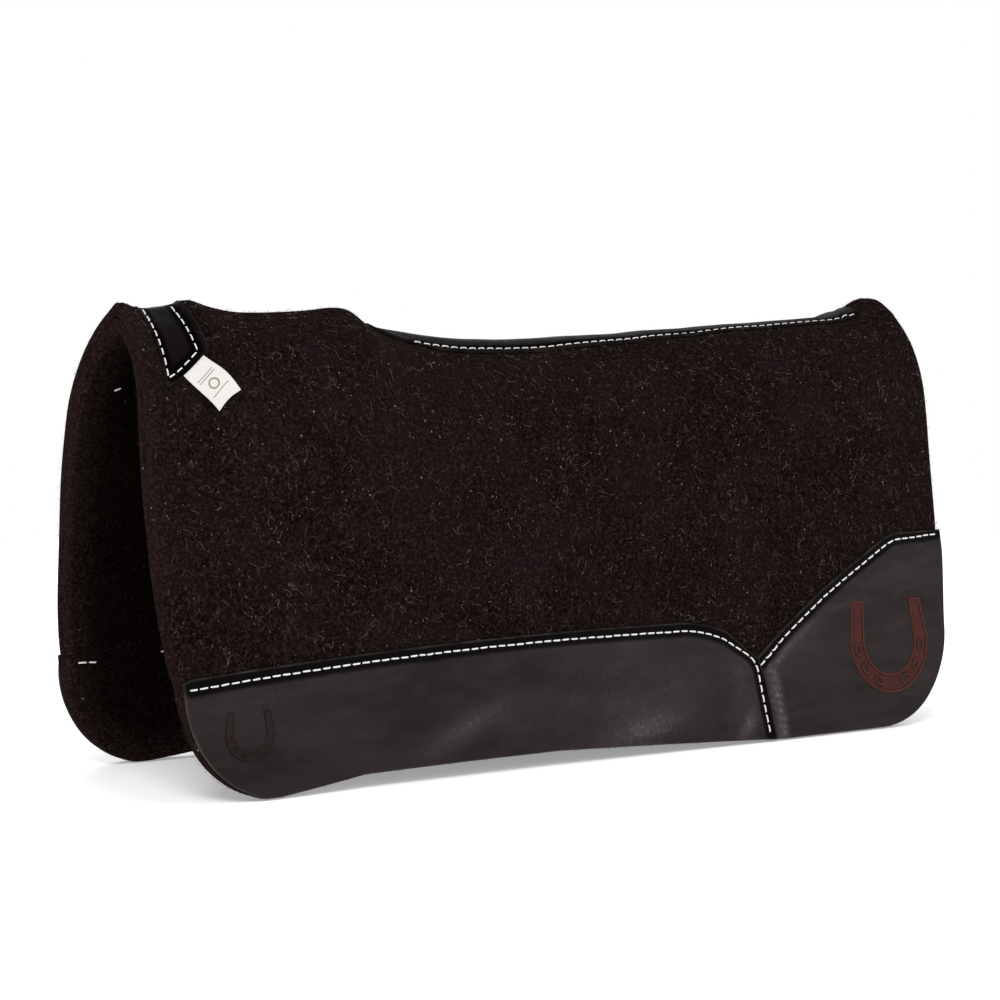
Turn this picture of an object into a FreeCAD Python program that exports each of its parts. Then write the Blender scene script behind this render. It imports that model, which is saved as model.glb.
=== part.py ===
"""A contoured saddle pad: two felt halves, leather trim, stitching, emblems and a tag.

Millimetres.  +Z is up, X runs along the horse's back with the withers (front) end at -X, and
-Y is the horse's left side.  The origin is on the floor, under the middle of the pad.

Every layer is an offset of one outer felt surface.  Its cross-section has, on each side of the
spine, a straight crown slope, a shoulder arc and a straight leg that leans outwards to the floor.
"""
import FreeCAD, Part
import math
import os

Vector = FreeCAD.Vector

# ---- driving dimensions ----
PAD_HALF_LENGTH = 389.0
FELT_LAYER = 11.0            # each half is two felt layers pressed together
LEATHER = 2.5
GLUE_LINE = 0.2              # gap left between two layers that touch
FOOT_HALF_WIDTH = 110.7      # outer felt surface at the floor, from the centre plane
CROWN_SLOPE = math.radians(30.0)
LEG_LEAN = math.radians(8.0)
SHOULDER_RADIUS = 116.0

# crown height of the outer felt surface along the spine, front to rear: (x, z)
TOPLINE = [
    (-400, 369), (-350, 360.5), (-300, 362.5), (-240, 360), (-190, 360.5), (-145, 345), (-90, 338),
    (0, 338), (100, 343.5), (200, 353), (300, 359.5), (350, 366), (400, 377),
]

# side outline of a half
FRONT_TOP_X = -376.0         # front end of the spine
FRONT_TOP_Z = 366.0
FRONT_BULGE = (-387.0, 240.0)
FRONT_EDGE = (-378.0, 84.0)  # low end of the bulge
FRONT_CORNER = [(-378.0, 78.0), (-359.9, 27.5), (-314.0, 0.0)]
REAR_EDGE = (384.5, 84.5)    # rear edge where the lower corner starts
REAR_CORNER_RADIUS = 84.5
REAR_EDGE_UPRIGHT_Z = 150.0  # above this height the rear edge is upright
# the lower edge lifts off the floor between the two feet, in three arcs
FRONT_BELLY = [(-302.0, 0.0), (-268.0, 4.2), (-228.0, 9.6)]
MIDDLE_BELLY = [(-228.0, 9.6), (-140.0, 10.6), (-45.0, 10.8)]
REAR_BELLY = [(-45.0, 10.8), (60.0, 6.3), (185.0, 0.0)]
TRIM_RAISE = 1.0             # the leather stops this far above the felt's lower edge

# leather pieces
STRIP_START, STRIP_END = -157.0, 356.0
STRIP_HALF_WIDTH = 22.1      # across the pad; 25.5 along the sloping felt
STRIP_CORNER_RADIUS = 12.0
STRIP_NOSE_LENGTH = 60.0     # the front end narrows over this length to a blunt tip
STRIP_NOSE = [(60.0, 22.1), (45.0, 21.2), (31.0, 18.6), (17.0, 13.5), (0.0, 3.0)]
STRIP_ROW = 21.0             # stitch row's distance from the spine, along the surface
STRIP_ROW_START = 32.0       # the rows start where the narrowing front end is wide enough
BAND_FRONT, BAND_REAR = -368.0, -321.0
BAND_RIDGE_FRONT = -361.0    # the front edge slants back towards the spine
BAND_TIP_Z, BAND_HEEL_Z = 302.0, 328.0
BAND_MARGIN = 6.0
BAND_FRONT_MARGIN = 4.5
STITCH_MARGIN = 6.0

# stitches and applied parts
STITCH_LENGTH = 6.5
STITCH_PITCH = 8.7
STITCH_RADIUS = 0.75
STITCH_LIFT = GLUE_LINE + LEATHER + STITCH_RADIUS + 0.2   # thread axis above the felt surface
SPINE_STITCH_PITCH = 12.4
SPINE_STITCH_END = 12.0              # clear felt beyond the last stitch of the spine joint
SPINE_STITCH_REACH = 6.0
EMBLEM_THICKNESS = 1.0
REAR_EMBLEM = (314.0, 76.0, 46.0)    # centre x, centre z, outer radius
FRONT_EMBLEM = (-325.0, 50.0, 21.0)
SHOE_WEB = 0.36                      # the horseshoe's proportions, in outer radii
SHOE_HEEL = 0.75
SHOE_NARROWING = 0.86
SHOE_THROAT = 0.8
NAIL_HOLE = 0.075
NAIL_ANGLES = (-10, -38, -66, 190, 218, 246)
TAG_LENGTH, TAG_WIDTH, TAG_THICKNESS = 38.0, 25.0, 0.8
TAG_CENTRE = (-331.0, 304.5)
TAG_TURN = math.radians(34.0)        # the tag hangs slanted, square to the band's end
TAG_CLEARANCE = 2.6

TOP = 420.0                  # above everything
BELOW_FLOOR = -30.0
BEYOND_END = 450.0
SHOULDER_REACH = 140.0       # farther from the spine, along the surface, than any crown stitch
SIDES = {"left": -1, "right": 1}


# ---- the outer felt surface ----
# places along the back where a section is drawn, closer together behind the front lip
STATION_STEP = 25.0
LIP_STATIONS = 8
STATIONS = [TOPLINE[0][0] + STATION_STEP / 2 * index for index in range(LIP_STATIONS)]
while STATIONS[-1] + STATION_STEP < TOPLINE[-1][0]:
    STATIONS.append(STATIONS[-1] + STATION_STEP)
STATIONS.append(TOPLINE[-1][0])


def topline_curve():
    curve = Part.BSplineCurve()
    curve.interpolate([Vector(x, 0, z) for x, z in TOPLINE])
    return curve


CROWN_CURVE = topline_curve()


def crown_height(x):
    low, high = CROWN_CURVE.FirstParameter, CROWN_CURVE.LastParameter
    for _ in range(50):
        middle = (low + high) / 2
        if CROWN_CURVE.value(middle).x < x:
            low = middle
        else:
            high = middle
    return CROWN_CURVE.value(low).z


def section(x, offset):
    """Key points (y, z) of the right half's section at x, offset outwards from the felt surface."""
    height = crown_height(x)
    lean = math.tan(LEG_LEAN)
    slope = math.tan(CROWN_SLOPE)
    corner_y = (FOOT_HALF_WIDTH - height * lean) / (1 - slope * lean)
    turn = math.pi / 2 - LEG_LEAN - CROWN_SLOPE
    straight = corner_y / math.cos(CROWN_SLOPE) - SHOULDER_RADIUS * math.tan(turn / 2)
    bend_y = straight * math.cos(CROWN_SLOPE)
    bend_z = height - straight * math.sin(CROWN_SLOPE)
    centre_y = bend_y - SHOULDER_RADIUS * math.sin(CROWN_SLOPE)
    centre_z = bend_z - SHOULDER_RADIUS * math.cos(CROWN_SLOPE)
    radius = SHOULDER_RADIUS + offset

    def on_arc(angle):
        return centre_y + radius * math.cos(angle), centre_z + radius * math.sin(angle)

    first, last = math.pi / 2 - CROWN_SLOPE, LEG_LEAN
    return {
        "apex_z": height + offset / math.cos(CROWN_SLOPE),
        "bend": on_arc(first),
        "shoulder": on_arc((first + last) / 2),
        "leg": on_arc(last),
        "straight": straight,
    }


def leg_y(z, offset):
    """Distance of the straight leg from the centre plane at height z."""
    return FOOT_HALF_WIDTH + offset / math.cos(LEG_LEAN) - z * math.tan(LEG_LEAN)


def surface_frame(x, distance, offset):
    """(y, z) and outward angle at a distance from the spine, measured along the felt surface."""
    key = section(x, offset)
    straight = key["straight"]
    if distance <= straight:
        y = distance * math.cos(CROWN_SLOPE) + offset * math.sin(CROWN_SLOPE)
        z = (key["apex_z"] - offset / math.cos(CROWN_SLOPE) - distance * math.sin(CROWN_SLOPE)
             + offset * math.cos(CROWN_SLOPE))
        return y, z, math.pi / 2 - CROWN_SLOPE
    angle = math.pi / 2 - CROWN_SLOPE - (distance - straight) / SHOULDER_RADIUS
    radius = SHOULDER_RADIUS + offset
    bend_y, bend_z = key["bend"]
    centre_y = bend_y - radius * math.sin(CROWN_SLOPE)
    centre_z = bend_z - radius * math.cos(CROWN_SLOPE)
    return centre_y + radius * math.cos(angle), centre_z + radius * math.sin(angle), angle


def distance_at_height(x, z):
    """Distance from the spine, along the felt surface, at which the surface is at height z."""
    low, high = 0.0, SHOULDER_REACH
    for _ in range(40):
        middle = (low + high) / 2
        if surface_frame(x, middle, 0)[1] > z:
            low = middle
        else:
            high = middle
    return low


# ---- building helpers ----
def line(a, b):
    return Part.makeLine(a, b)


def arc(a, b, c):
    return Part.Arc(a, b, c).toShape()


def half_wire(x, side, outer, inner):
    """Closed section of one half between two offsets, from the spine joint down past the floor."""
    joint_y = GLUE_LINE / 2
    drop = joint_y * math.tan(CROWN_SLOPE)

    def at(y, z):
        return Vector(x, side * y, z)

    edges = []
    ends = []
    for offset in (outer, inner):
        key = section(x, offset)
        points = [at(joint_y, key["apex_z"] - drop), at(*key["bend"]), at(*key["shoulder"]),
                  at(*key["leg"]), at(leg_y(BELOW_FLOOR, offset), BELOW_FLOOR)]
        ends.append(points)
    top, under = ends
    edges.append(line(top[0], top[1]))
    edges.append(arc(top[1], top[2], top[3]))
    edges.append(line(top[3], top[4]))
    edges.append(line(top[4], under[4]))
    edges.append(line(under[4], under[3]))
    edges.append(arc(under[3], under[2], under[1]))
    edges.append(line(under[1], under[0]))
    edges.append(line(under[0], top[0]))
    return Part.Wire(edges)


def crown_wire(x, outer, inner):
    """Closed section of a layer that lies over the spine, down to the start of both legs."""
    rows = []
    for offset in (outer, inner):
        key = section(x, offset)
        right = [Vector(x, y, z) for y, z in (key["leg"], key["shoulder"], key["bend"])]
        left = [Vector(x, -p.y, p.z) for p in reversed(right)]
        rows.append(right + [Vector(x, 0, key["apex_z"])] + left)
    edges = []
    for row in (rows[0], rows[1][::-1]):
        edges.append(arc(row[0], row[1], row[2]))
        edges.append(line(row[2], row[3]))
        edges.append(line(row[3], row[4]))
        edges.append(arc(row[4], row[5], row[6]))
        if row is rows[0]:
            edges.append(line(row[6], rows[1][6]))
    edges.append(line(rows[1][0], rows[0][0]))
    return Part.Wire(edges)


def loft(wires):
    return Part.makeLoft(wires, True, False)


def side_prism(edges, reach=300.0):
    """Extrude a closed outline drawn in the XZ plane across the pad, past both sides."""
    face = Part.Face(Part.Wire(Part.__sortEdges__(edges)))
    face.translate(Vector(0, -reach, 0))
    return face.extrude(Vector(0, 2 * reach, 0))


def xz(x, z):
    return Vector(x, 0, z)


def leg_slab(side, inner, outer):
    """Flat slab on one leg, between two offsets from the felt surface."""
    low, high = BELOW_FLOOR, 230.0
    points = [
        Vector(-BEYOND_END, side * leg_y(low, inner), low),
        Vector(-BEYOND_END, side * leg_y(high, inner), high),
        Vector(-BEYOND_END, side * leg_y(high, outer), high),
        Vector(-BEYOND_END, side * leg_y(low, outer), low),
    ]
    return Part.Face(Part.makePolygon(points + points[:1])).extrude(Vector(2 * BEYOND_END, 0, 0))


# ---- outlines in side view ----
def pad_outline(raise_by=0.0):
    """Side outline of a half: bulged front edge, rounded lower corners, lifted belly."""
    floor = raise_by
    rear_x = REAR_EDGE[0]
    rear_centre_x = rear_x - REAR_CORNER_RADIUS
    diagonal = math.sqrt(0.5)
    rear_low = REAR_CORNER_RADIUS * (1 - diagonal)
    corner, *belly = [arc(*[xz(x, z + floor) for x, z in points])
                      for points in (FRONT_CORNER, FRONT_BELLY, MIDDLE_BELLY, REAR_BELLY)]
    return [
        line(xz(FRONT_TOP_X, TOP), xz(FRONT_TOP_X, FRONT_TOP_Z)),
        arc(xz(FRONT_TOP_X, FRONT_TOP_Z), xz(*FRONT_BULGE), xz(*FRONT_EDGE)),
        line(xz(*FRONT_EDGE), xz(FRONT_CORNER[0][0], FRONT_CORNER[0][1] + floor)),
        corner,
        line(xz(FRONT_CORNER[2][0], floor), xz(FRONT_BELLY[0][0], floor)),
        *belly,
        line(xz(REAR_BELLY[2][0], floor), xz(rear_centre_x, floor)),
        arc(xz(rear_centre_x, floor), xz(rear_x - rear_low, rear_low + floor),
            xz(rear_x, REAR_CORNER_RADIUS + floor)),
        line(xz(rear_x, REAR_CORNER_RADIUS + floor), xz(PAD_HALF_LENGTH, REAR_EDGE_UPRIGHT_Z)),
        line(xz(PAD_HALF_LENGTH, REAR_EDGE_UPRIGHT_Z), xz(PAD_HALF_LENGTH, TOP)),
        line(xz(PAD_HALF_LENGTH, TOP), xz(FRONT_TOP_X, TOP)),
    ]


# front wear leather: long low top edge, shoulder, then a slanted seam to the floor
FRONT_LEATHER_TOP = [(-400.0, 89.0), (-160.0, 102.0), (75.0, 104.0)]
FRONT_LEATHER_SHOULDER = [(75.0, 104.0), (110.0, 101.0), (133.4, 93.7)]
SEAM = [(164.0, 69.5), (169.0, 54.0), (178.0, -5.0)]
# rear wear leather: rises from the seam and levels out towards the rear edge
REAR_LEATHER_RISE = [(164.0, 69.5), (203.0, 97.5), (244.0, 123.0)]
REAR_LEATHER_CURVE = [(314.0, 160.5), (325.0, 165.3), (337.0, 167.2)]
REAR_LEATHER_END = [(337.0, 167.2), (400.0, 168.5)]
# stitch rows, a few millimetres inside the leathers' upper edges
FRONT_ROW_TOP = [(-374.0, 83.5), (-160.0, 95.8), (75.0, 97.3)]
FRONT_ROW_SHOULDER = [(75.0, 97.3), (106.0, 95.0), (130.0, 87.8)]
FRONT_ROW_KNEE = [(153.0, 73.9), (159.6, 66.0), (162.4, 55.6)]
FRONT_ROW_END = (170.0, 7.0)
REAR_ROW_RISE = [(167.5, 64.5), (204.0, 91.3), (245.0, 117.0)]
REAR_ROW_CURVE = [(318.0, 155.8), (327.0, 159.7), (336.0, 161.6)]
REAR_ROW_END = (384.0, 164.4)


def front_leather_region():
    top = arc(*[xz(*p) for p in FRONT_LEATHER_TOP])
    shoulder = arc(*[xz(*p) for p in FRONT_LEATHER_SHOULDER])
    return side_prism([
        top,
        shoulder,
        line(xz(*FRONT_LEATHER_SHOULDER[2]), xz(*SEAM[0])),
        line(xz(*SEAM[0]), xz(*SEAM[1])),
        line(xz(*SEAM[1]), xz(*SEAM[2])),
        line(xz(*SEAM[2]), xz(-400, -5)),
        line(xz(-400, -5), xz(*FRONT_LEATHER_TOP[0])),
    ])


def rear_leather_region():
    gap = GLUE_LINE
    seam = [xz(x + gap, z) for x, z in SEAM]
    return side_prism([
        arc(seam[0], *[xz(*p) for p in REAR_LEATHER_RISE[1:]]),
        line(xz(*REAR_LEATHER_RISE[2]), xz(*REAR_LEATHER_CURVE[0])),
        arc(*[xz(*p) for p in REAR_LEATHER_CURVE]),
        line(xz(*REAR_LEATHER_END[0]), xz(*REAR_LEATHER_END[1])),
        line(xz(*REAR_LEATHER_END[1]), xz(400, -5)),
        line(xz(400, -5), seam[2]),
        line(seam[2], seam[1]),
        line(seam[1], seam[0]),
    ])


# ---- sub-parts ----
def felt_layer(side, outer, inner):
    body = loft([half_wire(x, side, outer, inner) for x in STATIONS])
    return body.common(side_prism(pad_outline()))


def crown_layer():
    """Leather-thick layer over the whole spine."""
    return loft([crown_wire(x, GLUE_LINE + LEATHER, GLUE_LINE) for x in STATIONS])


def spine_strip():
    """Strip over the spine, with a narrowing front end and a round-cornered rear end."""
    half = STRIP_HALF_WIDTH
    straight_start = STRIP_START + STRIP_NOSE_LENGTH
    body = Part.makeBox(STRIP_END - straight_start, 2 * half, TOP, Vector(straight_start, -half, 0))
    rear = [e for e in body.Edges if e.Length > TOP - 1 and e.Vertexes[0].X > straight_start + 1]
    body = body.makeFillet(STRIP_CORNER_RADIUS, rear)
    nose = [Vector(STRIP_START + along, -across, 0) for along, across in STRIP_NOSE]
    nose += [Vector(p.x, -p.y, 0) for p in reversed(nose)]
    nose = Part.Face(Part.makePolygon(nose + nose[:1])).extrude(Vector(0, 0, TOP))
    return crown_layer().common(body.fuse(nose).removeSplitter())


def wither_band():
    slant = (BAND_RIDGE_FRONT - BAND_FRONT) / (crown_height(BAND_RIDGE_FRONT) - BAND_TIP_Z)
    corners = [xz(BAND_FRONT + slant * (TOP - BAND_TIP_Z), TOP), xz(BAND_FRONT, BAND_TIP_Z),
               xz(BAND_REAR, BAND_HEEL_Z), xz(BAND_REAR, TOP)]
    return crown_layer().common(side_prism(Part.makePolygon(corners + corners[:1]).Edges))


def leather_piece(side, region):
    slab = leg_slab(side, GLUE_LINE, GLUE_LINE + LEATHER)
    return slab.common(side_prism(pad_outline(TRIM_RAISE))).common(region)


def horseshoe(side, centre_x, centre_z, radius):
    """Raised horseshoe on the leather, open end up, with a nail hole row on each branch."""
    web = SHOE_WEB * radius
    heel = SHOE_HEEL * radius
    ring = side_prism([Part.makeCircle(radius, xz(centre_x, centre_z), Vector(0, 1, 0))])
    ring = ring.fuse(side_prism(Part.makePolygon([
        xz(centre_x - radius, centre_z), xz(centre_x + radius, centre_z),
        xz(centre_x + SHOE_NARROWING * radius, centre_z + heel),
        xz(centre_x - SHOE_NARROWING * radius, centre_z + heel),
        xz(centre_x - radius, centre_z)]).Edges))
    inner = radius - web
    hollow = side_prism([Part.makeCircle(inner, xz(centre_x, centre_z), Vector(0, 1, 0))])
    hollow = hollow.fuse(side_prism(Part.makePolygon([
        xz(centre_x - inner, centre_z), xz(centre_x + inner, centre_z),
        xz(centre_x + SHOE_THROAT * inner, centre_z + 2 * heel),
        xz(centre_x - SHOE_THROAT * inner, centre_z + 2 * heel),
        xz(centre_x - inner, centre_z)]).Edges))
    shoe = ring.cut(hollow)
    nail_ring = radius - web / 2
    for degrees in NAIL_ANGLES:
        angle = math.radians(degrees)
        place = xz(centre_x + nail_ring * math.cos(angle), centre_z + nail_ring * math.sin(angle))
        shoe = shoe.cut(side_prism([Part.makeCircle(NAIL_HOLE * radius, place, Vector(0, 1, 0))]))
    under = LEATHER + 1.5 * GLUE_LINE
    return leg_slab(side, under, under + EMBLEM_THICKNESS).common(shoe)


def stitch(middle, along, length=STITCH_LENGTH):
    """One thread run: a short round bar centred on a point, lying along a direction."""
    along = Vector(along).normalize()
    return Part.makeCylinder(STITCH_RADIUS, length, middle - along * (length / 2), along)


def row_along(edges, pitch=STITCH_PITCH):
    """Evenly spaced (point, tangent) pairs along a chain of edges."""
    wire = Part.Wire(edges)
    count = int(wire.Length / pitch)
    points = wire.discretize(Number=2 * count + 1)
    places = []
    for index in range(count):
        before, middle, after = points[2 * index:2 * index + 3]
        places.append((middle, after - before))
    return places


def leg_row(side, edges):
    """Stitches on a leg's leather along edges drawn in side view."""
    stitches = []
    for middle, along in row_along(edges):
        point = Vector(middle.x, side * leg_y(middle.z, STITCH_LIFT), middle.z)
        lean = Vector(along.x, -side * along.z * math.tan(LEG_LEAN), along.z)
        stitches.append(stitch(point, lean))
    return Part.makeCompound(stitches)


def front_leather_stitches(side):
    edges = [
        arc(*[xz(*p) for p in FRONT_ROW_TOP]),
        arc(*[xz(*p) for p in FRONT_ROW_SHOULDER]),
        line(xz(*FRONT_ROW_SHOULDER[2]), xz(*FRONT_ROW_KNEE[0])),
        arc(*[xz(*p) for p in FRONT_ROW_KNEE]),
        line(xz(*FRONT_ROW_KNEE[2]), xz(*FRONT_ROW_END)),
    ]
    return leg_row(side, edges)


def rear_leather_stitches(side):
    edges = [
        arc(*[xz(*p) for p in REAR_ROW_RISE]),
        line(xz(*REAR_ROW_RISE[2]), xz(*REAR_ROW_CURVE[0])),
        arc(*[xz(*p) for p in REAR_ROW_CURVE]),
        line(xz(*REAR_ROW_CURVE[2]), xz(*REAR_ROW_END)),
    ]
    return leg_row(side, edges)


def crown_stitch(side, x_here, x_next, distance_here, distance_next):
    """Stitch on the crown leather between two places given by x and distance from the spine."""
    ends = []
    for x, distance in ((x_here, distance_here), (x_next, distance_next)):
        y, z, _ = surface_frame(x, distance, STITCH_LIFT)
        ends.append(Vector(x, side * y, z))
    return stitch((ends[0] + ends[1]) * 0.5, ends[1] - ends[0])


def crown_row(side, start, end):
    """Row of crown stitches between two (x, distance) places."""
    length = math.hypot(end[0] - start[0], end[1] - start[1])
    count = int(length / STITCH_PITCH)
    stitches = []
    for index in range(count):
        low = (index + 0.1) / count
        high = (index + 0.9) / count
        stitches.append(crown_stitch(
            side,
            start[0] + (end[0] - start[0]) * low, start[0] + (end[0] - start[0]) * high,
            start[1] + (end[1] - start[1]) * low, start[1] + (end[1] - start[1]) * high))
    return stitches


def strip_stitches(side):
    ends = (STRIP_START + STRIP_ROW_START, STRIP_ROW), (STRIP_END - STITCH_MARGIN, STRIP_ROW)
    return Part.makeCompound(crown_row(side, *ends))


def band_stitches(side):
    """Three rows on one end of the wither band: down the front, along the slant, up the rear."""
    ridge_x = BAND_RIDGE_FRONT + BAND_FRONT_MARGIN
    front_x = BAND_FRONT + BAND_FRONT_MARGIN
    rear_x = BAND_REAR - BAND_MARGIN - 3
    tip = distance_at_height(front_x, BAND_TIP_Z) - 1.5 * BAND_MARGIN
    heel = distance_at_height(rear_x, BAND_HEEL_Z) - 1.5 * BAND_MARGIN
    near_spine = 5.0
    rows = crown_row(side, (ridge_x, near_spine), (front_x, tip))
    rows += crown_row(side, (front_x + 2, tip), (rear_x - 2, heel))
    rows += crown_row(side, (rear_x, heel), (rear_x, near_spine))
    return Part.makeCompound(rows)


def spine_joint_stitches():
    """Zigzag threads across the underside of the joint between the two felt halves."""
    thickness = 2 * FELT_LAYER
    reach = SPINE_STITCH_REACH
    below = reach * math.tan(CROWN_SLOPE) + STITCH_RADIUS + 0.4
    stitches = []
    x = FRONT_TOP_X + SPINE_STITCH_END
    lean = SPINE_STITCH_PITCH / 2
    while x < PAD_HALF_LENGTH - SPINE_STITCH_END:
        z = min(section(near, -thickness)["apex_z"] for near in (x - lean, x + lean)) - below
        stitches.append(stitch(Vector(x, 0, z), Vector(lean, 2 * reach, 0), 2 * reach))
        lean = -lean
        x += SPINE_STITCH_PITCH
    return Part.makeCompound(stitches)


def tag_placement():
    """Frame of the tag: its long side runs down the shoulder and slants rearwards."""
    x, z = TAG_CENTRE
    distance = distance_at_height(x, z)
    y, z, angle = surface_frame(x, distance, TAG_CLEARANCE)
    outward = Vector(0, -math.cos(angle), math.sin(angle))
    down = Vector(0, -math.sin(angle), -math.cos(angle))
    along = down * math.cos(TAG_TURN) + Vector(1, 0, 0) * math.sin(TAG_TURN)
    across = outward.cross(along)
    return Vector(x, -y, z), along, across, outward


def tag_block(from_along, to_along, half_width, low, high):
    """Box in the tag's own frame."""
    centre, along, across, outward = tag_placement()
    corners = []
    for a, b in ((from_along, -half_width), (to_along, -half_width),
                 (to_along, half_width), (from_along, half_width)):
        corners.append(centre + along * a + across * b + outward * low)
    face = Part.Face(Part.makePolygon(corners + corners[:1]))
    return face.extrude(outward * (high - low))


def woven_tag():
    return tag_block(-TAG_LENGTH / 2, TAG_LENGTH / 2, TAG_WIDTH / 2, 0, TAG_THICKNESS)


def tag_stitch():
    """Flat bar of thread across the tag's sewn end."""
    lift = TAG_THICKNESS + 0.05
    start = -TAG_LENGTH / 2 + 1.0
    return tag_block(start, start + 1.6, TAG_WIDTH / 2 - 2.0, lift, lift + 0.7)


def build():
    parts = {
        "spine_strip": spine_strip(),
        "wither_band": wither_band(),
        "spine_joint_stitches": spine_joint_stitches(),
        "woven_tag": woven_tag(),
        "tag_stitch": tag_stitch(),
    }
    split = GLUE_LINE / 2
    for name, side in SIDES.items():
        parts["felt_outer_" + name] = felt_layer(side, 0.0, -FELT_LAYER + split)
        parts["felt_inner_" + name] = felt_layer(side, -FELT_LAYER - split, -2 * FELT_LAYER)
        parts["front_leather_" + name] = leather_piece(side, front_leather_region())
        parts["rear_leather_" + name] = leather_piece(side, rear_leather_region())
        parts["rear_emblem_" + name] = horseshoe(side, *REAR_EMBLEM)
        parts["front_emblem_" + name] = horseshoe(side, *FRONT_EMBLEM)
        parts["front_leather_stitches_" + name] = front_leather_stitches(side)
        parts["rear_leather_stitches_" + name] = rear_leather_stitches(side)
        parts["strip_stitches_" + name] = strip_stitches(side)
        parts["band_stitches_" + name] = band_stitches(side)
    return parts


def main():
    os.makedirs("parts", exist_ok=True)
    for node, shape in build().items():
        box = shape.BoundBox
        print(f"{node:32s} solids {len(shape.Solids):3d} volume {shape.Volume:12.1f} "
              f"x {box.XMin:7.1f} {box.XMax:7.1f} y {box.YMin:7.1f} {box.YMax:7.1f} "
              f"z {box.ZMin:6.1f} {box.ZMax:6.1f}")
        shape.exportStep(f"parts/{node}.step")


main()
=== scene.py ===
"""The looks of a contoured felt saddle pad with leather trim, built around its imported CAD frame.

Metres.  +Z is up, the withers (front) end is at -X and the horse's left side is -Y.  Every layer
lies on one curved surface: a place on it is (x, distance from the spine along the felt), and a
lift moves a point off that surface along its outward normal.
"""

import math

import bpy
import numpy as np
from mathutils.geometry import delaunay_2d_cdt
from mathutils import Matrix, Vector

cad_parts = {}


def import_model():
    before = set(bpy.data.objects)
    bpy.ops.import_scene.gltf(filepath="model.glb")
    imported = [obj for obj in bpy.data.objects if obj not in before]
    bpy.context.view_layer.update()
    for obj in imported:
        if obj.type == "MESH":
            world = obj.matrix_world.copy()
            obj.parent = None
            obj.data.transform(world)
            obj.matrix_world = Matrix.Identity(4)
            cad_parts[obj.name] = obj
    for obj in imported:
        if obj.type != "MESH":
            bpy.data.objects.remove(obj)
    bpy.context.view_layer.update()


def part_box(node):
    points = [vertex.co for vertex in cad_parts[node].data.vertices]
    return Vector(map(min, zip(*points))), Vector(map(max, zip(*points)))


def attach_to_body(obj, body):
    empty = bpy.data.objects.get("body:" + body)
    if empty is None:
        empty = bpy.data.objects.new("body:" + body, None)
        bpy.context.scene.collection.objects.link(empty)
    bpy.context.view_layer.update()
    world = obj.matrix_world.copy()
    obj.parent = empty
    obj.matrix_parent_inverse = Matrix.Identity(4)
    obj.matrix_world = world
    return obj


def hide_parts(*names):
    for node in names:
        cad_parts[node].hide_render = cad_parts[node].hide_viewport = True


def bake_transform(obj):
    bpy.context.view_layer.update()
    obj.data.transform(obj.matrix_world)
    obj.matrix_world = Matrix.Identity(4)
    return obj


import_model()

MM = 0.001
SIDES = {"left": -1, "right": 1}

# ---- cross-section of the felt, as in the CAD ----
LEAN = math.radians(8)
SLOPE = math.radians(30)
SHOULDER_RADIUS = 0.116
FOOT_HALF_WIDTH = 0.1107
TURN = math.pi / 2 - LEAN - SLOPE
ARC_LENGTH = SHOULDER_RADIUS * TURN
FELT = 0.022
FELT_LAYER = 0.011
LEATHER = 0.0025
GLUE = 0.0002

# crown height of the felt along the spine, front to rear, with its lip, hump, dip and rear bulge
TOPLINE = np.array([
    (-0.400, 0.3691), (-0.380, 0.3661), (-0.372, 0.3638), (-0.360, 0.3600), (-0.350, 0.3596),
    (-0.340, 0.3608), (-0.330, 0.3628), (-0.320, 0.3653), (-0.310, 0.3640), (-0.300, 0.3617),
    (-0.280, 0.3585), (-0.260, 0.3584), (-0.240, 0.3592), (-0.205, 0.3614), (-0.190, 0.3627),
    (-0.180, 0.3617), (-0.173, 0.3590), (-0.162, 0.3509), (-0.154, 0.3458), (-0.146, 0.3440),
    (-0.128, 0.3412), (-0.100, 0.3372), (-0.087, 0.3357), (-0.070, 0.3348), (-0.048, 0.3350),
    (-0.020, 0.3356), (0.010, 0.3366), (0.033, 0.3379), (0.060, 0.3388), (0.090, 0.3399),
    (0.118, 0.3423), (0.140, 0.3430), (0.160, 0.3438), (0.185, 0.3464), (0.207, 0.3488),
    (0.240, 0.3506), (0.277, 0.3529), (0.306, 0.3546), (0.324, 0.3559), (0.339, 0.3592),
    (0.349, 0.3615), (0.355, 0.3637), (0.361, 0.3670), (0.366, 0.3703), (0.371, 0.3730),
    (0.376, 0.3747), (0.385, 0.3747), (0.400, 0.3738),
])
# how far from the spine the rounding of the ridge reaches: sharp at the withers, flat behind
RIDGE_REACH = np.array([
    (-0.400, 0.006), (-0.200, 0.006), (-0.157, 0.008), (-0.117, 0.0093), (0.010, 0.0135),
    (0.105, 0.022), (0.170, 0.034), (0.220, 0.040), (0.300, 0.040), (0.345, 0.030), (0.365, 0.016),
    (0.389, 0.018), (0.400, 0.018),
])


def hermite(points, spacing=0.002):
    """Dense samples of a smooth curve through points that are ordered by their first value."""
    x, z = points[:, 0], points[:, 1]
    slope = np.gradient(z, x)
    dense = np.arange(x[0], x[-1] + spacing / 2, spacing)
    left = np.clip(np.searchsorted(x, dense, side="right") - 1, 0, len(x) - 2)
    width = x[left + 1] - x[left]
    t = (dense - x[left]) / width
    value = ((2 * t**3 - 3 * t**2 + 1) * z[left] + (t**3 - 2 * t**2 + t) * width * slope[left]
             + (3 * t**2 - 2 * t**3) * z[left + 1] + (t**3 - t**2) * width * slope[left + 1])
    return dense, value


CROWN_X, CROWN_Z = hermite(TOPLINE)


def smooth(low, high, value):
    t = np.clip((value - low) / (high - low), 0, 1)
    return t * t * (3 - 2 * t)


def bell(distance, width):
    return np.exp(-(distance / width) ** 2)


def ridge_reach(x):
    return np.interp(x, RIDGE_REACH[:, 0], RIDGE_REACH[:, 1])


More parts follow.
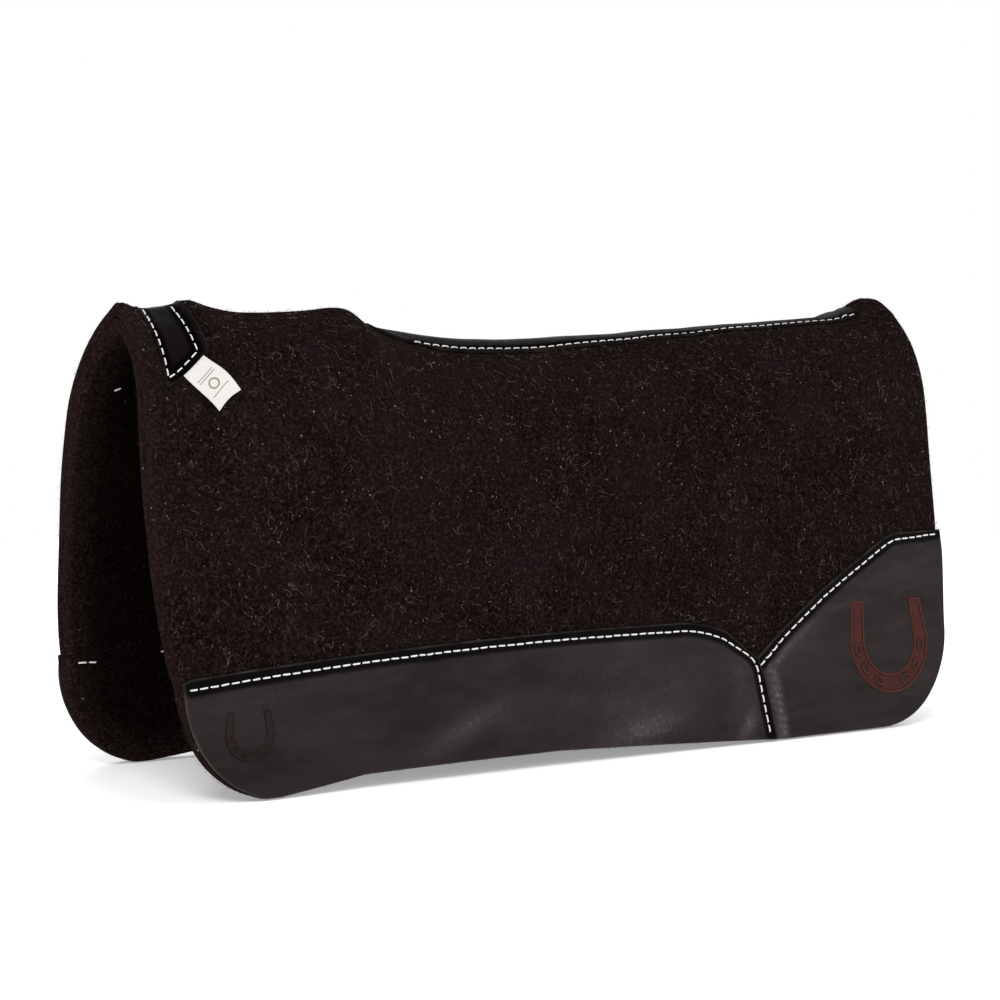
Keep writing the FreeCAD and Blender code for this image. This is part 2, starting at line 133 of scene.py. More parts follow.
def profile(x):
    """Crown length and shoulder centre of the section at x, with its crown drawn to a sharp ridge."""
    height = np.interp(x, CROWN_X, CROWN_Z) + math.tan(SLOPE) * ridge_reach(x) / 2
    corner = (FOOT_HALF_WIDTH - height * math.tan(LEAN)) / (1 - math.tan(SLOPE) * math.tan(LEAN))
    straight = corner / math.cos(SLOPE) - SHOULDER_RADIUS * math.tan(TURN / 2)
    centre_y = straight * math.cos(SLOPE) - SHOULDER_RADIUS * math.sin(SLOPE)
    centre_z = height - straight * math.sin(SLOPE) - SHOULDER_RADIUS * math.cos(SLOPE)
    return height, straight, centre_y, centre_z


def on_felt(x, distance):
    """(y, z) and outward normal (y, z) of the right half's outer surface."""
    height, straight, centre_y, centre_z = profile(x)
    angle = math.pi / 2 - SLOPE - np.clip(distance - straight, 0, ARC_LENGTH) / SHOULDER_RADIUS
    beyond = np.maximum(distance - straight - ARC_LENGTH, 0)
    crown = distance <= straight
    y = np.where(crown, distance * math.cos(SLOPE),
                 centre_y + SHOULDER_RADIUS * np.cos(angle) + beyond * math.sin(LEAN))
    z = np.where(crown, height - distance * math.sin(SLOPE),
                 centre_z + SHOULDER_RADIUS * np.sin(angle) - beyond * math.cos(LEAN))
    return y, z, np.cos(angle), np.sin(angle)


def floor_distance(x):
    """Distance from the spine to the floor, along the felt."""
    _, straight, _, centre_z = profile(x)
    leg = (centre_z + SHOULDER_RADIUS * math.sin(LEAN)) / math.cos(LEAN)
    return straight + ARC_LENGTH + leg


def distance_at(x, z):
    """Distance from the spine at which the felt is at height z."""
    low = np.zeros_like(x)
    high = floor_distance(x) + 0.02
    for _ in range(30):
        middle = (low + high) / 2
        above = on_felt(x, middle)[1] > z
        low = np.where(above, middle, low)
        high = np.where(above, high, middle)
    return low


def waves(seed, count, shortest, longest):
    """Directions, phases and strengths of a sum of sines that stands for a natural unevenness."""
    draw = np.random.default_rng(seed)
    way = draw.normal(size=(count, 3))
    way /= np.linalg.norm(way, axis=1)[:, None]
    length = draw.uniform(shortest, longest, count)
    return way * (2 * math.pi / length)[:, None], draw.uniform(0, 2 * math.pi, count), length / longest


def ripple(points, field):
    way, phase, strength = field
    return (np.sin(points @ way.T + phase) * strength).sum(axis=1) / math.sqrt(len(phase))


BODY_WAVES = waves(3, 14, 0.05, 0.16)
FAR_FORWARD = 5 * MM         # the right half's lower front edge bulges this much further forwards


def place(x, distance, lift, side):
    """Points at a lift off the felt surface; cuts across the felt stay upright at spine and floor.

    Side 0 is a piece that lies across the spine, with negative distances on the left.
    """
    if side == 0:
        side = np.where(distance < 0, -1, 1)
        distance = np.abs(distance)
    _, straight, _, _ = profile(x)
    low = floor_distance(x) - distance
    x = x - FAR_FORWARD * np.maximum(side, 0) * bell(low - 0.095, 0.06) * smooth(-0.20, -0.36, x)
    down = np.clip(distance / (straight + ARC_LENGTH), 0, 1)
    shift = lift * (math.tan(LEAN) * down - math.tan(SLOPE) * (1 - down))
    y, z, normal_y, normal_z = on_felt(x, distance + shift)
    uneven = ripple(np.stack([x, side * y, z], axis=1), BODY_WAVES) * 0.9 * MM
    uneven = uneven * smooth(0, 0.03, z)
    y = y + (lift + uneven) * normal_y
    z = z + (lift + uneven) * normal_z
    y = np.maximum(y, GLUE / 2)
    reach = ridge_reach(x)
    z = z - math.tan(SLOPE) * np.maximum(reach - y, 0) ** 2 / (2 * reach)
    return np.stack([x, side * y, z], axis=1)


def placed(flat, lift, side):
    return place(flat[:, 0], flat[:, 1], lift, side)


def outward(x, distance, side):
    """Normals of the felt surface, out of the pad."""
    _, _, normal_y, normal_z = on_felt(x, distance)
    return np.stack([0 * normal_y, side * normal_y, normal_z], axis=1)


def deep(flat):
    """A depth far in from every edge, for each place."""
    return np.full(len(flat), 1.0)


# ---- lines and outlines ----
def pairs(first, second):
    return np.stack([first, second], axis=1)


def arc(a, b, c, count=60):
    """Points of the arc from a through b to c."""
    first, middle, last = (complex(*p) for p in (a, b, c))
    ratio = (last - first) / (middle - first)
    centre = (middle - first) * (ratio - abs(ratio) ** 2) / (2j * ratio.imag) + first
    start = np.angle(first - centre)
    through = (np.angle(middle - centre) - start) % (2 * math.pi)
    sweep = (np.angle(last - centre) - start) % (2 * math.pi)
    if through > sweep:
        sweep -= 2 * math.pi
    points = centre + abs(first - centre) * np.exp(1j * (start + sweep * np.linspace(0, 1, count)))
    return pairs(points.real, points.imag)


def travelled(line):
    """Length of a line up to each of its points."""
    return np.concatenate([[0], np.cumsum(np.linalg.norm(np.diff(line, axis=0), axis=1))])


def along_line(line, at):
    """Points of a line at the given lengths from its start."""
    steps = travelled(line)
    return np.stack([np.interp(at, steps, line[:, 0]), np.interp(at, steps, line[:, 1])], axis=-1)


def even(points, spacing):
    """The same line with evenly spaced points, ends kept."""
    points = np.asarray(points, float)
    length = travelled(points)[-1]
    count = max(1, round(length / spacing))
    return along_line(points, np.linspace(0, length, count + 1))


def chain(*parts):
    """One line from several that follow each other, without repeated joints."""
    points = [parts[0]]
    for part in parts[1:]:
        gap = np.linalg.norm(part[0] - points[-1][-1])
        points.append(part[1:] if gap < 1e-5 else part)
    return np.concatenate(points)


def closed(points):
    """Drop the last point of a loop when it repeats the first."""
    return points[:-1] if np.linalg.norm(points[0] - points[-1]) < 1e-5 else points


HALF_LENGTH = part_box("felt_outer_left")[1].x
FRONT_TOP = (-0.376, 0.366)
FRONT_BULGE = (-0.387, 0.240)
FRONT_EDGE = (-0.3745, 0.084)
FRONT_CORNER = [(-0.3745, 0.078), (-0.3575, 0.0275), (-0.314, 0.0)]
FRONT_BELLY = [(-0.302, 0.0), (-0.268, 0.0042), (-0.228, 0.0096)]
MIDDLE_BELLY = [(-0.228, 0.0096), (-0.140, 0.0106), (-0.045, 0.0108)]
REAR_BELLY = [(-0.045, 0.0108), (0.060, 0.0063), (0.185, 0.0)]
REAR_EDGE_X = 0.3845
REAR_CORNER = 0.0845
REAR_UPRIGHT = (HALF_LENGTH, 0.150)


def pad_edge(raised=0.0):
    """Side view of a half's edge, from the front of the spine round the bottom to its rear."""
    up = np.array([0, raised])
    diagonal = 1 - math.sqrt(0.5)
    front = arc(FRONT_TOP, FRONT_BULGE, FRONT_EDGE)
    bottom = [arc(*points) + up for points in (FRONT_CORNER, FRONT_BELLY, MIDDLE_BELLY, REAR_BELLY)]
    rear_corner = arc((REAR_EDGE_X - REAR_CORNER, 0),
                      (REAR_EDGE_X - REAR_CORNER * diagonal, REAR_CORNER * diagonal),
                      (REAR_EDGE_X, REAR_CORNER)) + up
    rear = np.array([REAR_UPRIGHT, (HALF_LENGTH, 0.390)])
    return chain(front, *bottom, rear_corner, rear)


def to_surface(points):
    """Side-view (x, z) points as (x, distance from the spine)."""
    return pairs(points[:, 0], distance_at(points[:, 0], points[:, 1]))


def on_leg(points):
    """The same for points on the straight leg."""
    return pairs(points[:, 0], floor_distance(points[:, 0]) - points[:, 1] / math.cos(LEAN))


# ---- leather outlines and stitch rows in side view, as in the CAD ----
FRONT_LEATHER_TOP = arc((-0.400, 0.089), (-0.160, 0.102), (0.075, 0.104))
FRONT_SHOULDER = arc((0.075, 0.104), (0.110, 0.101), (0.1334, 0.0937))
SEAM = np.array([(0.164, 0.0695), (0.169, 0.054), (0.178, -0.005)])
REAR_RISE = arc((0.164, 0.0695), (0.203, 0.0975), (0.244, 0.123))
REAR_CURVE = arc((0.314, 0.1605), (0.325, 0.1653), (0.337, 0.1672))
REAR_END = np.array([(0.337, 0.1672), (0.400, 0.1685)])
FRONT_ROW = chain(arc((-0.3712, 0.0836), (-0.160, 0.0958), (0.075, 0.0973)),
                  arc((0.075, 0.0973), (0.106, 0.095), (0.130, 0.0878)),
                  arc((0.153, 0.0739), (0.1596, 0.066), (0.1624, 0.0556)),
                  np.array([(0.170, 0.007)]))
REAR_ROW = chain(arc((0.165, 0.0625), (0.204, 0.0913), (0.245, 0.117)),
                 arc((0.318, 0.1558), (0.327, 0.1597), (0.336, 0.1616)),
                 np.array([(0.384, 0.1644)]))
TUCK = 0.006                 # how far the rear leather runs under the front one
TRIM_RAISE = 0.001


def seam_x(z):
    return np.interp(-z, -SEAM[:, 1], SEAM[:, 0])


def front_leather_loop():
    edge = pad_edge(TRIM_RAISE)
    top_z = np.interp(FRONT_EDGE[0], FRONT_LEATHER_TOP[:, 0], FRONT_LEATHER_TOP[:, 1])
    edge = even(edge[(edge[:, 1] < top_z) & (edge[:, 0] < seam_x(edge[:, 1]))], 0.003)
    top = FRONT_LEATHER_TOP[FRONT_LEATHER_TOP[:, 0] > edge[0, 0] + 0.001]
    foot = np.array([(seam_x(edge[-1, 1]), edge[-1, 1])])
    seam = even(chain(foot, SEAM[1:2], SEAM[0:1]), 0.003)
    back = even(chain(SEAM[:1], FRONT_SHOULDER[::-1], top[::-1], edge[:1]), 0.003)
    return closed(on_leg(chain(edge, seam, back)))


def rear_leather_loop():
    edge = pad_edge(TRIM_RAISE)
    top_z = np.interp(HALF_LENGTH, REAR_END[:, 0], REAR_END[:, 1])
    low = (edge[:, 1] < top_z) & (edge[:, 0] > seam_x(edge[:, 1]) - TUCK) & (edge[:, 0] > 0.1)
    edge = chain(edge[low], np.array([(HALF_LENGTH, top_z)]))
    start = np.array([(seam_x(TRIM_RAISE) - TUCK, TRIM_RAISE)])
    edge = even(chain(start, edge), 0.003)
    tucked = SEAM[:2] - np.array([TUCK, 0])
    seam = even(chain(tucked, start), 0.003)
    top = even(chain(edge[-1:], REAR_END[:1], REAR_CURVE[::-1], REAR_RISE[::-1], tucked[:1]), 0.003)
    return closed(on_leg(chain(edge, top, seam)))


# ---- meshes ----
ROW_STEP = 0.866             # distance between rows of even triangles, in spacings
WALL_RINGS = 2               # rings of points between the two faces of a piece


def to_segments(points, line, loop=False):
    """Distance from each point to a line, or to a closed loop."""
    start = line if loop else line[:-1]
    way = (np.roll(line, -1, axis=0) if loop else line[1:]) - start
    size = np.maximum((way ** 2).sum(axis=1), 1e-18)
    found = []
    for block in np.array_split(points, max(1, len(points) // 1500)):
        from_start = block[:, None, :] - start[None]
        t = np.clip((from_start * way).sum(axis=2) / size, 0, 1)
        found.append(np.sqrt(((from_start - t[..., None] * way) ** 2).sum(axis=2).min(axis=1)))
    return np.concatenate(found)


def inside(points, loop):
    """Which points lie inside a closed loop."""
    a, b = loop, np.roll(loop, -1, axis=0)
    found = []
    for block in np.array_split(points, max(1, len(points) // 1500)):
        x, y = block[:, 0:1], block[:, 1:2]
        spans = (a[:, 1] > y) != (b[:, 1] > y)
        rise = np.where(b[:, 1] == a[:, 1], 1, b[:, 1] - a[:, 1])
        crossing = (b[:, 0] - a[:, 0]) * (y - a[:, 1]) / rise + a[:, 0]
        found.append((spans & (x < crossing)).sum(axis=1) % 2 == 1)
    return np.concatenate(found)


def unit(ways):
    """The same directions with length 1."""
    return ways / np.maximum(np.linalg.norm(ways, axis=-1), 1e-12)[..., None]


def sideways(ways):
    """Unit directions a quarter turn to the left of the given ones."""
    return unit(pairs(-ways[:, 1], ways[:, 0]))


def beside(line, offset, spacing):
    """Evenly spaced points along a line, moved sideways."""
    line = even(line, spacing)
    return line + offset * sideways(np.gradient(line, axis=0))


def fill(loop, spacing, rings, holes=(), details=()):
    """Even triangles inside a closed loop and outside its holes, with point rings along the edges.

    Each detail is (line, offsets, spacing): finer points along and beside a line of the relief.
    """
    lines = (loop, *holes)
    ring_points = []
    for number, line in enumerate(lines):
        way = np.roll(line, -1, axis=0) - np.roll(line, 1, axis=0)
        inward = sideways(way)
        turned = (line[:, 0] * np.roll(line[:, 1], -1) - line[:, 1] * np.roll(line[:, 0], -1)).sum()
        if (turned < 0) != (number > 0):
            inward = -inward
        ring_points += [(depth, line + inward * depth) for depth in rings]
    low, high = loop.min(axis=0), loop.max(axis=0)
    field = []
    for number, y in enumerate(np.arange(low[1], high[1], spacing * ROW_STEP)):
        x = np.arange(low[0] + (number % 2) * spacing / 2, high[0], spacing)
        field.append(pairs(x, np.full(len(x), y)))

    def clear(candidates, gap):
        kept = candidates[inside(candidates, loop)]
        for hole in holes:
            kept = kept[~inside(kept, hole)]
        for line in lines:
            kept = kept[to_segments(kept, line, loop=True) > gap]
        return kept

    ring_points = [clear(points, 0.9 * depth) for depth, points in ring_points]
    deepest = max(rings)
    field = clear(np.concatenate(field), deepest + 0.5 * spacing)
    extra = []
    for line, offsets, step in details:
        field = field[to_segments(field, line) > max(offsets) + 0.6 * spacing]
        extra += [beside(line, offset, step) for offset in offsets]
    extra = [clear(np.concatenate(extra), deepest + 0.0004)] if extra else []
    everything = np.concatenate([*lines, *ring_points, *extra, field])
    loops, edges, first = [], [], 0
    for line in lines:
        rim = np.arange(first, first + len(line))
        loops.append(rim)
        edges += zip(rim.tolist(), np.roll(rim, -1).tolist())
        first += len(line)
    result = delaunay_2d_cdt([tuple(p) for p in everything], edges, [], 1, 1e-9)
    found = np.array([tuple(v) for v in result[0]])
    faces = np.array(result[2])
    middle = found[faces].mean(axis=1)
    keep = inside(middle, loop)
    for hole in holes:
        keep &= ~inside(middle, hole)
    return found, faces[keep], loops


def add_object(name, data):
    obj = bpy.data.objects.new(name, data)
    bpy.context.scene.collection.objects.link(obj)
    return obj


def new_object(name, points, faces, material, attributes=()):
    """A smooth mesh object with one float attribute per given name."""
    mesh = bpy.data.meshes.new(name)
    mesh.from_pydata(points.tolist(), [], [tuple(f) for f in faces])
    for label, values in dict(attributes).items():
        mesh.attributes.new(label, "FLOAT", "POINT").data.foreach_set("value", values.astype(np.float32))
    mesh.polygons.foreach_set("use_smooth", [True] * len(mesh.polygons))
    mesh.materials.append(material)
    mesh.update()
    return add_object(name, mesh)


def solid(name, loop, spacing, rings, top, bottom, side, material, marks=None, holes=(),
          details=(), shine=None):
    """A closed piece between two lifts off the felt surface, inside a loop of surface places.

    Its attributes are depth, the distance in from its edges, and where they are given row, the
    distance from its stitches, and shine, the strength of its painted highlights.
    """
    flat, triangles, loops = fill(loop, spacing, rings, holes, details)
    depth = np.min([to_segments(flat, line, loop=True) for line in (loop, *holes)], axis=0)
    high, low = top(flat, depth), bottom(flat, depth)
    points = [placed(flat, high, side), placed(flat, low, side)]
    count = len(flat)
    source = [np.arange(count), np.arange(count)]
    corner = points[0][triangles[0]]
    out = np.cross(corner[1] - corner[0], corner[2] - corner[0])
    away = points[0][triangles[0][0]] - points[1][triangles[0][0]]
    if out @ away < 0:
        triangles = triangles[:, ::-1]
    faces = [tuple(t) for t in triangles] + [tuple(t + count) for t in triangles[:, ::-1]]
    total = 2 * count
    for rim in loops:
        levels = [rim]
        for step in range(1, WALL_RINGS + 1):
            share = step / (WALL_RINGS + 1)
            lift = high[rim] * (1 - share) + low[rim] * share
            points.append(placed(flat[rim], lift, side))
            source.append(rim)
            levels.append(np.arange(total, total + len(rim)))
            total += len(rim)
        levels.append(rim + count)
        forward = ((triangles == rim[0]) & (np.roll(triangles, -1, axis=1) == rim[1])).any()
        for upper, under in zip(levels[:-1], levels[1:]):
            quads = np.stack([np.roll(upper, -1), upper, under, np.roll(under, -1)], axis=1)
            faces += [tuple(q) for q in (quads if forward else quads[:, ::-1])]
    source = np.concatenate(source)
    attributes = {"depth": depth[source]}
    for label, values in (("row", marks), ("shine", shine)):
        if values is not None:
            attributes[label] = values(flat)[source]
    return new_object(name, np.concatenate(points), faces, material, attributes)


def rounded(depth, radius):
    """How far a rounded cut edge has dropped at a distance in from the edge."""
    inward = np.clip(1 - depth / radius, 0, 1)
    return radius * (1 - np.sqrt(1 - inward**2))


def tubes(name, paths, normals, radius, sides, material, ply=0.0, twists=0.0):
    """Closed thin tubes along many paths, (tube, ring, 3), as one mesh; ply ridges wind along them."""
    count, rings, _ = paths.shape
    along = unit(np.gradient(paths, axis=1))
    across = unit(np.cross(along, normals))
    up = np.cross(across, along)
    turn = np.linspace(0, 2 * math.pi, sides, endpoint=False)
    wind = np.linspace(0, 2 * math.pi * twists, rings)
    ridge = 1 + ply * np.cos(2 * (turn[None] - wind[:, None]))
    reach = np.broadcast_to(radius, (count, rings))[..., None] * ridge[None]
    ring = (across[:, :, None] * np.cos(turn)[:, None] + up[:, :, None] * np.sin(turn)[:, None])
    skin = paths[:, :, None] + reach[..., None] * ring
    per = rings * sides + 2
    points = np.concatenate([skin.reshape(count, -1, 3), paths[:, :1], paths[:, -1:]], axis=1)
    grid = np.arange(rings * sides).reshape(rings, sides)
    after = np.roll(grid, -1, axis=1)
    quads = np.stack([grid[:-1], grid[1:], after[1:], after[:-1]], axis=-1).reshape(-1, 4)
    caps = []
    for j, k in zip(range(sides), after[0]):
        caps += [(per - 2, j, k), (per - 1, grid[-1, k], grid[-1, j])]
    first = (np.arange(count) * per)[:, None, None]
    quads = (quads[None] + first).reshape(-1, 4)
    caps = (np.array(caps)[None] + first).reshape(-1, 3)
    faces = [tuple(f) for f in quads] + [tuple(f) for f in caps]
    return new_object(name, points.reshape(-1, 3), faces, material)


def join(name, objects):
    """One object from several of the same material."""
    points, faces = [], []
    material = objects[0].data.materials[0]
    for obj in objects:
        faces += [tuple(len(points) + v for v in p.vertices) for p in obj.data.polygons]
        points += [tuple(v.co) for v in obj.data.vertices]
        bpy.data.objects.remove(obj)
    return new_object(name, np.array(points), faces, material)


STITCH_PITCH = 0.0087
STITCH_LENGTH = 0.0065
STITCH_SINK = 1.7 * MM       # how deep each end goes into its hole
STITCH_RINGS = 15
INNER_SHOWN = 0.1            # share of the runs inside the pad that lie on the felt
THREAD_RADIUS = 0.68 * MM
STRIP_THREAD_RADIUS = 0.52 * MM
BAND_THREAD_RADIUS = 0.57 * MM


def stitches(name, line, top, side, seed, inner=False, radius=THREAD_RADIUS):
    """Plied thread runs along a row of surface places, each end pulled down into its hole.

    Inside the pad most runs are pulled into the felt and only a share of them is shown.
    """
    draw = np.random.default_rng(seed)
    total = travelled(line)[-1]
    count = int(total / STITCH_PITCH)
    pitch = total / count
    middle = (np.arange(count) + 0.5) * pitch
    if inner:
        middle = middle[:-1] + pitch / 2
    share = np.linspace(0, 1, STITCH_RINGS)
    reach = STITCH_LENGTH * draw.uniform(0.95, 1.04, len(middle))
    at = middle[:, None] + (share - 0.5) * reach[:, None]
    places = along_line(line, at)
    slant = draw.normal(0, 0.12 * MM, (len(middle), 2))
    places[..., 1] += slant[:, :1] * (1 - share) + slant[:, 1:] * share
    flat = places.reshape(-1, 2)
    facing = -1 if inner else 1
    buried = np.where(draw.random(len(middle)) < INNER_SHOWN, 0.9, draw.uniform(2.6, 3.6, len(middle)))
    buried = buried if inner else 0 * middle
    lift = top(flat, deep(flat)) + facing * radius * (0.8 - np.repeat(buried, STITCH_RINGS))
    dip = STITCH_SINK * (2 * np.tile(share, len(middle)) - 1) ** 8
    paths = placed(flat, lift - facing * dip, side).reshape(len(middle), STITCH_RINGS, 3)
    normals = facing * outward(flat[:, 0], flat[:, 1], side)
    return tubes(name, paths, normals.reshape(paths.shape), radius, 10, THREAD_LOOK, 0.13, 1.7)


# ---- materials ----
class Shader:
    """A procedural material, built node by node.  Colours are (red, green, blue)."""

    def __init__(self, name):
        self.material = bpy.data.materials.new(name)
        self.material.use_nodes = True
        self.tree = self.material.node_tree
        self.tree.nodes.clear()

    def set(self, socket, value):
        if isinstance(value, bpy.types.NodeSocket):
            self.tree.links.new(value, socket)
        elif socket.type == "RGBA":
            socket.default_value = (*value, 1)
        else:
            socket.default_value = value

    def node(self, kind, settings=(), **inputs):
        """A node of that kind with named inputs."""
        node = self.tree.nodes.new("ShaderNode" + kind)
        for key, value in dict(settings).items():
            setattr(node, key, value)
        for key, value in inputs.items():
            self.set(node.inputs[key.replace("_", " ")], value)
        return node

    def add(self, kind, output=0, settings=(), **inputs):
        """One output of such a node."""
        return self.node(kind, settings, **inputs).outputs[output]

    def math(self, operation, first, second=0.0, third=0.0):
        node = self.node("Math", {"operation": operation})
        for socket, value in zip(node.inputs, (first, second, third)):
            self.set(socket, value)
        return node.outputs[0]

    def plus(self, first, second):
        return self.math("ADD", first, second)

    def times(self, first, second):
        return self.math("MULTIPLY", first, second)

    def mix(self, factor, first, second, blend="MIX"):
        node = self.node("Mix", {"data_type": "RGBA", "blend_type": blend})
        for number, value in ((0, factor), (6, first), (7, second)):
            self.set(node.inputs[number], value)
        return node.outputs[2]

    def range(self, value, low, high, to_low=0.0, to_high=1.0):
        node = self.node("MapRange", {"interpolation_type": "SMOOTHSTEP"})
        for socket, number in zip(node.inputs, (value, low, high, to_low, to_high)):
            self.set(socket, number)
        return node.outputs[0]

    def fade(self, value, low, high):
        """1 up to low, falling to 0 at high."""
        return self.range(value, low, high, 1.0, 0.0)

    def away(self, value, centre):
        return self.math("ABSOLUTE", self.math("SUBTRACT", value, centre))

    def noise(self, vector, scale, detail=2.0, roughness=0.5, distortion=0.0):
        return self.add("TexNoise", Vector=vector, Scale=scale, Detail=detail,
                        Roughness=roughness, Distortion=distortion)

    def bump(self, height, distance, strength):
        return self.add("Bump", Height=height, Distance=distance, Strength=strength)

    def mark(self, name):
        return self.add("Attribute", output=2, settings={"attribute_name": name})

    def finish(self, **inputs):
        surface = self.add("BsdfPrincipled", **inputs)
        self.node("OutputMaterial", Surface=surface)
        return self.material


def felt_material(name, shade=1.0):
    """Pressed dark wool: soft brown patches, mottling, curly pale hairs and a few white specks.

    A shade below 1 paints shade on the face away from its cut edges, for the shadowed inside of the pad.
    """
    sh = Shader(name)
    at = sh.add("TexCoord", output="Object")
    patches = sh.range(sh.noise(at, 11, 3), 0.35, 0.65)
    purple = sh.range(sh.noise(at, 23, 2), 0.5, 0.72)
    mottle = sh.range(sh.noise(at, 420, 3, 0.7), 0.42, 0.68)
    base = sh.mix(patches, (0.0040, 0.0019, 0.0018),
                  (0.0066, 0.0038, 0.0033))
    base = sh.mix(purple, base, (0.0070, 0.0038, 0.0044))
    base = sh.mix(mottle, base, (0.0185, 0.0124, 0.0116))
    hairs = 0.0
    for scale, width, patch_scale in ((120, 0.010, 70), (190, 0.014, 110)):
        line = sh.away(sh.noise(at, scale, 1, 0.5, 1.2), 0.5)
        thin = sh.fade(line, 0.0, width)
        broken = sh.range(sh.noise(at, patch_scale, 2), 0.54, 0.62)
        hairs = sh.math("MAXIMUM", hairs, sh.times(thin, broken))
    base = sh.mix(sh.times(hairs, 0.45), base, (0.075, 0.058, 0.052))
    spots = sh.node("TexVoronoi", Vector=at, Scale=230)
    chosen = sh.math("GREATER_THAN", sh.add("SeparateColor", Color=spots.outputs["Color"]), 0.985)
    dot = sh.times(sh.fade(spots.outputs["Distance"], 0.10, 0.22), chosen)
    base = sh.mix(sh.times(dot, 0.6), base, (0.32, 0.28, 0.26))
    # Painted highlight: the felt colour is lightened along the rounded cut edges, where light catches the
    # rims.
    cut = sh.fade(sh.mark("depth"), 0.001, 0.007)
    base = sh.mix(cut, base, (1.45, 1.30, 1.25), "MULTIPLY")
    # Painted shade: away from the cut edges the inner felt is darkened, as it lies in shadow inside the pad.
    if shade < 1:
        hollow = sh.range(sh.mark("depth"), 0.004, 0.030, 0.0, 1.0)
        base = sh.mix(hollow, base, (shade, 0.8 * shade, 0.8 * shade), "MULTIPLY")
    height = sh.plus(sh.noise(at, 320, 6, 0.75), sh.times(hairs, 0.5))
    height = sh.plus(height, sh.times(sh.noise(at, 90, 3, 0.6), 1.2))
    return sh.finish(Base_Color=base, Roughness=0.95, Specular_IOR_Level=0.0,
                     Sheen_Weight=0.022, Sheen_Roughness=0.3, Sheen_Tint=(0.85, 0.68, 0.64),
                     Normal=sh.bump(height, 0.0012, 0.9))


def leather_material(name, dark=(0.0098, 0.0060, 0.0062), pale=(0.0180, 0.0119, 0.0124), gloss=0.42,
                     rim=(0.050, 0.044, 0.037), rim_strength=0.65, specular=0.09):
    """Smooth dark leather: fine grain, painted sheen blotches and painted highlights, burnished stitch
    channel, and an edge paler from wear and a painted rim highlight.
    """
    sh = Shader(name)
    at = sh.add("TexCoord", output="Object")
    slanted = sh.add("Mapping", Vector=at, Rotation=(0.0, 0.65, 0.0), Scale=(0.55, 1.0, 1.7))
    # Painted sheen: lighter blotches and clouds in the colour stand for patches of sheen on the leather; the
    # clouds also vary its roughness.
    sheen_blotch = sh.range(sh.noise(slanted, 17, 4, 0.6), 0.34, 0.68)
    cloud = sh.noise(slanted, 62, 4, 0.65)
    base = sh.mix(sheen_blotch, dark, pale)
    base = sh.mix(sh.range(cloud, 0.42, 0.78, 0.0, 0.45), base, tuple(1.5 * c for c in pale))
    # Painted highlights: the shine attribute, broken up by speckle, lightens the colour towards a pale
    # sheen.
    speckle = sh.range(sh.noise(at, 300, 3, 0.7), 0.48, 0.70)
    shine = sh.times(sh.mark("shine"), sh.plus(0.40, sh.times(speckle, 0.60)))
    base = sh.mix(sh.math("MINIMUM", shine, 1.0), base, (0.120, 0.102, 0.104))
    row = sh.mark("row")
    burnished = sh.fade(row, 0.0032, 0.0068)
    base = sh.mix(sh.times(burnished, 0.95), base, (0.0012, 0.0009, 0.0009))
    edge = sh.mark("depth")
    # Paler rim along the cut edge: partly real edge wear, partly a painted highlight along the rim; on the
    # embossed emblem the same mask draws a dark outline.
    rim_wear_and_highlight = sh.times(sh.fade(edge, 0.0004, 0.0016),
                   sh.range(sh.noise(at, 55, 4, 0.7), 0.36, 0.66, 0.25, 1.0))
    base = sh.mix(sh.times(rim_wear_and_highlight, rim_strength), base, rim)
    grain = sh.add("TexVoronoi", output="Distance", Vector=at, Scale=950)
    pores = sh.noise(at, 1900, 3, 0.6)
    wrinkle = sh.noise(at, 240, 4, 0.6, 0.8)
    height = sh.plus(sh.times(grain, 0.6), pores)
    height = sh.plus(height, sh.times(wrinkle, 1.4))
    rough = sh.range(cloud, 0.25, 0.75, gloss + 0.12, gloss - 0.08)
    rough = sh.plus(rough, sh.times(burnished, 0.05))
    glint = sh.times(specular, sh.math("SUBTRACT", 1.0, sh.times(burnished, 0.7)))
    return sh.finish(Base_Color=base, Roughness=rough, Specular_IOR_Level=glint,
                     Normal=sh.bump(height, 0.00022, 0.5))


def thread_material(name, colour=(0.83, 0.81, 0.77)):
    """Waxed white thread, a little soiled between its plies."""
    sh = Shader(name)
    at = sh.add("TexCoord", output="Object")
    fibre = sh.noise(at, 1500, 3, 0.6)
    soiled = sh.range(sh.noise(at, 130, 3), 0.35, 0.7)
    base = sh.mix(sh.times(soiled, 0.35), colour, (0.60, 0.56, 0.51))
    base = sh.mix(sh.range(fibre, 0.3, 0.7, 0.0, 0.25), base, (0.5, 0.48, 0.45))
    return sh.finish(Base_Color=base, Roughness=0.6, Sheen_Weight=0.2,
                     Normal=sh.bump(fibre, 0.0002, 0.6))


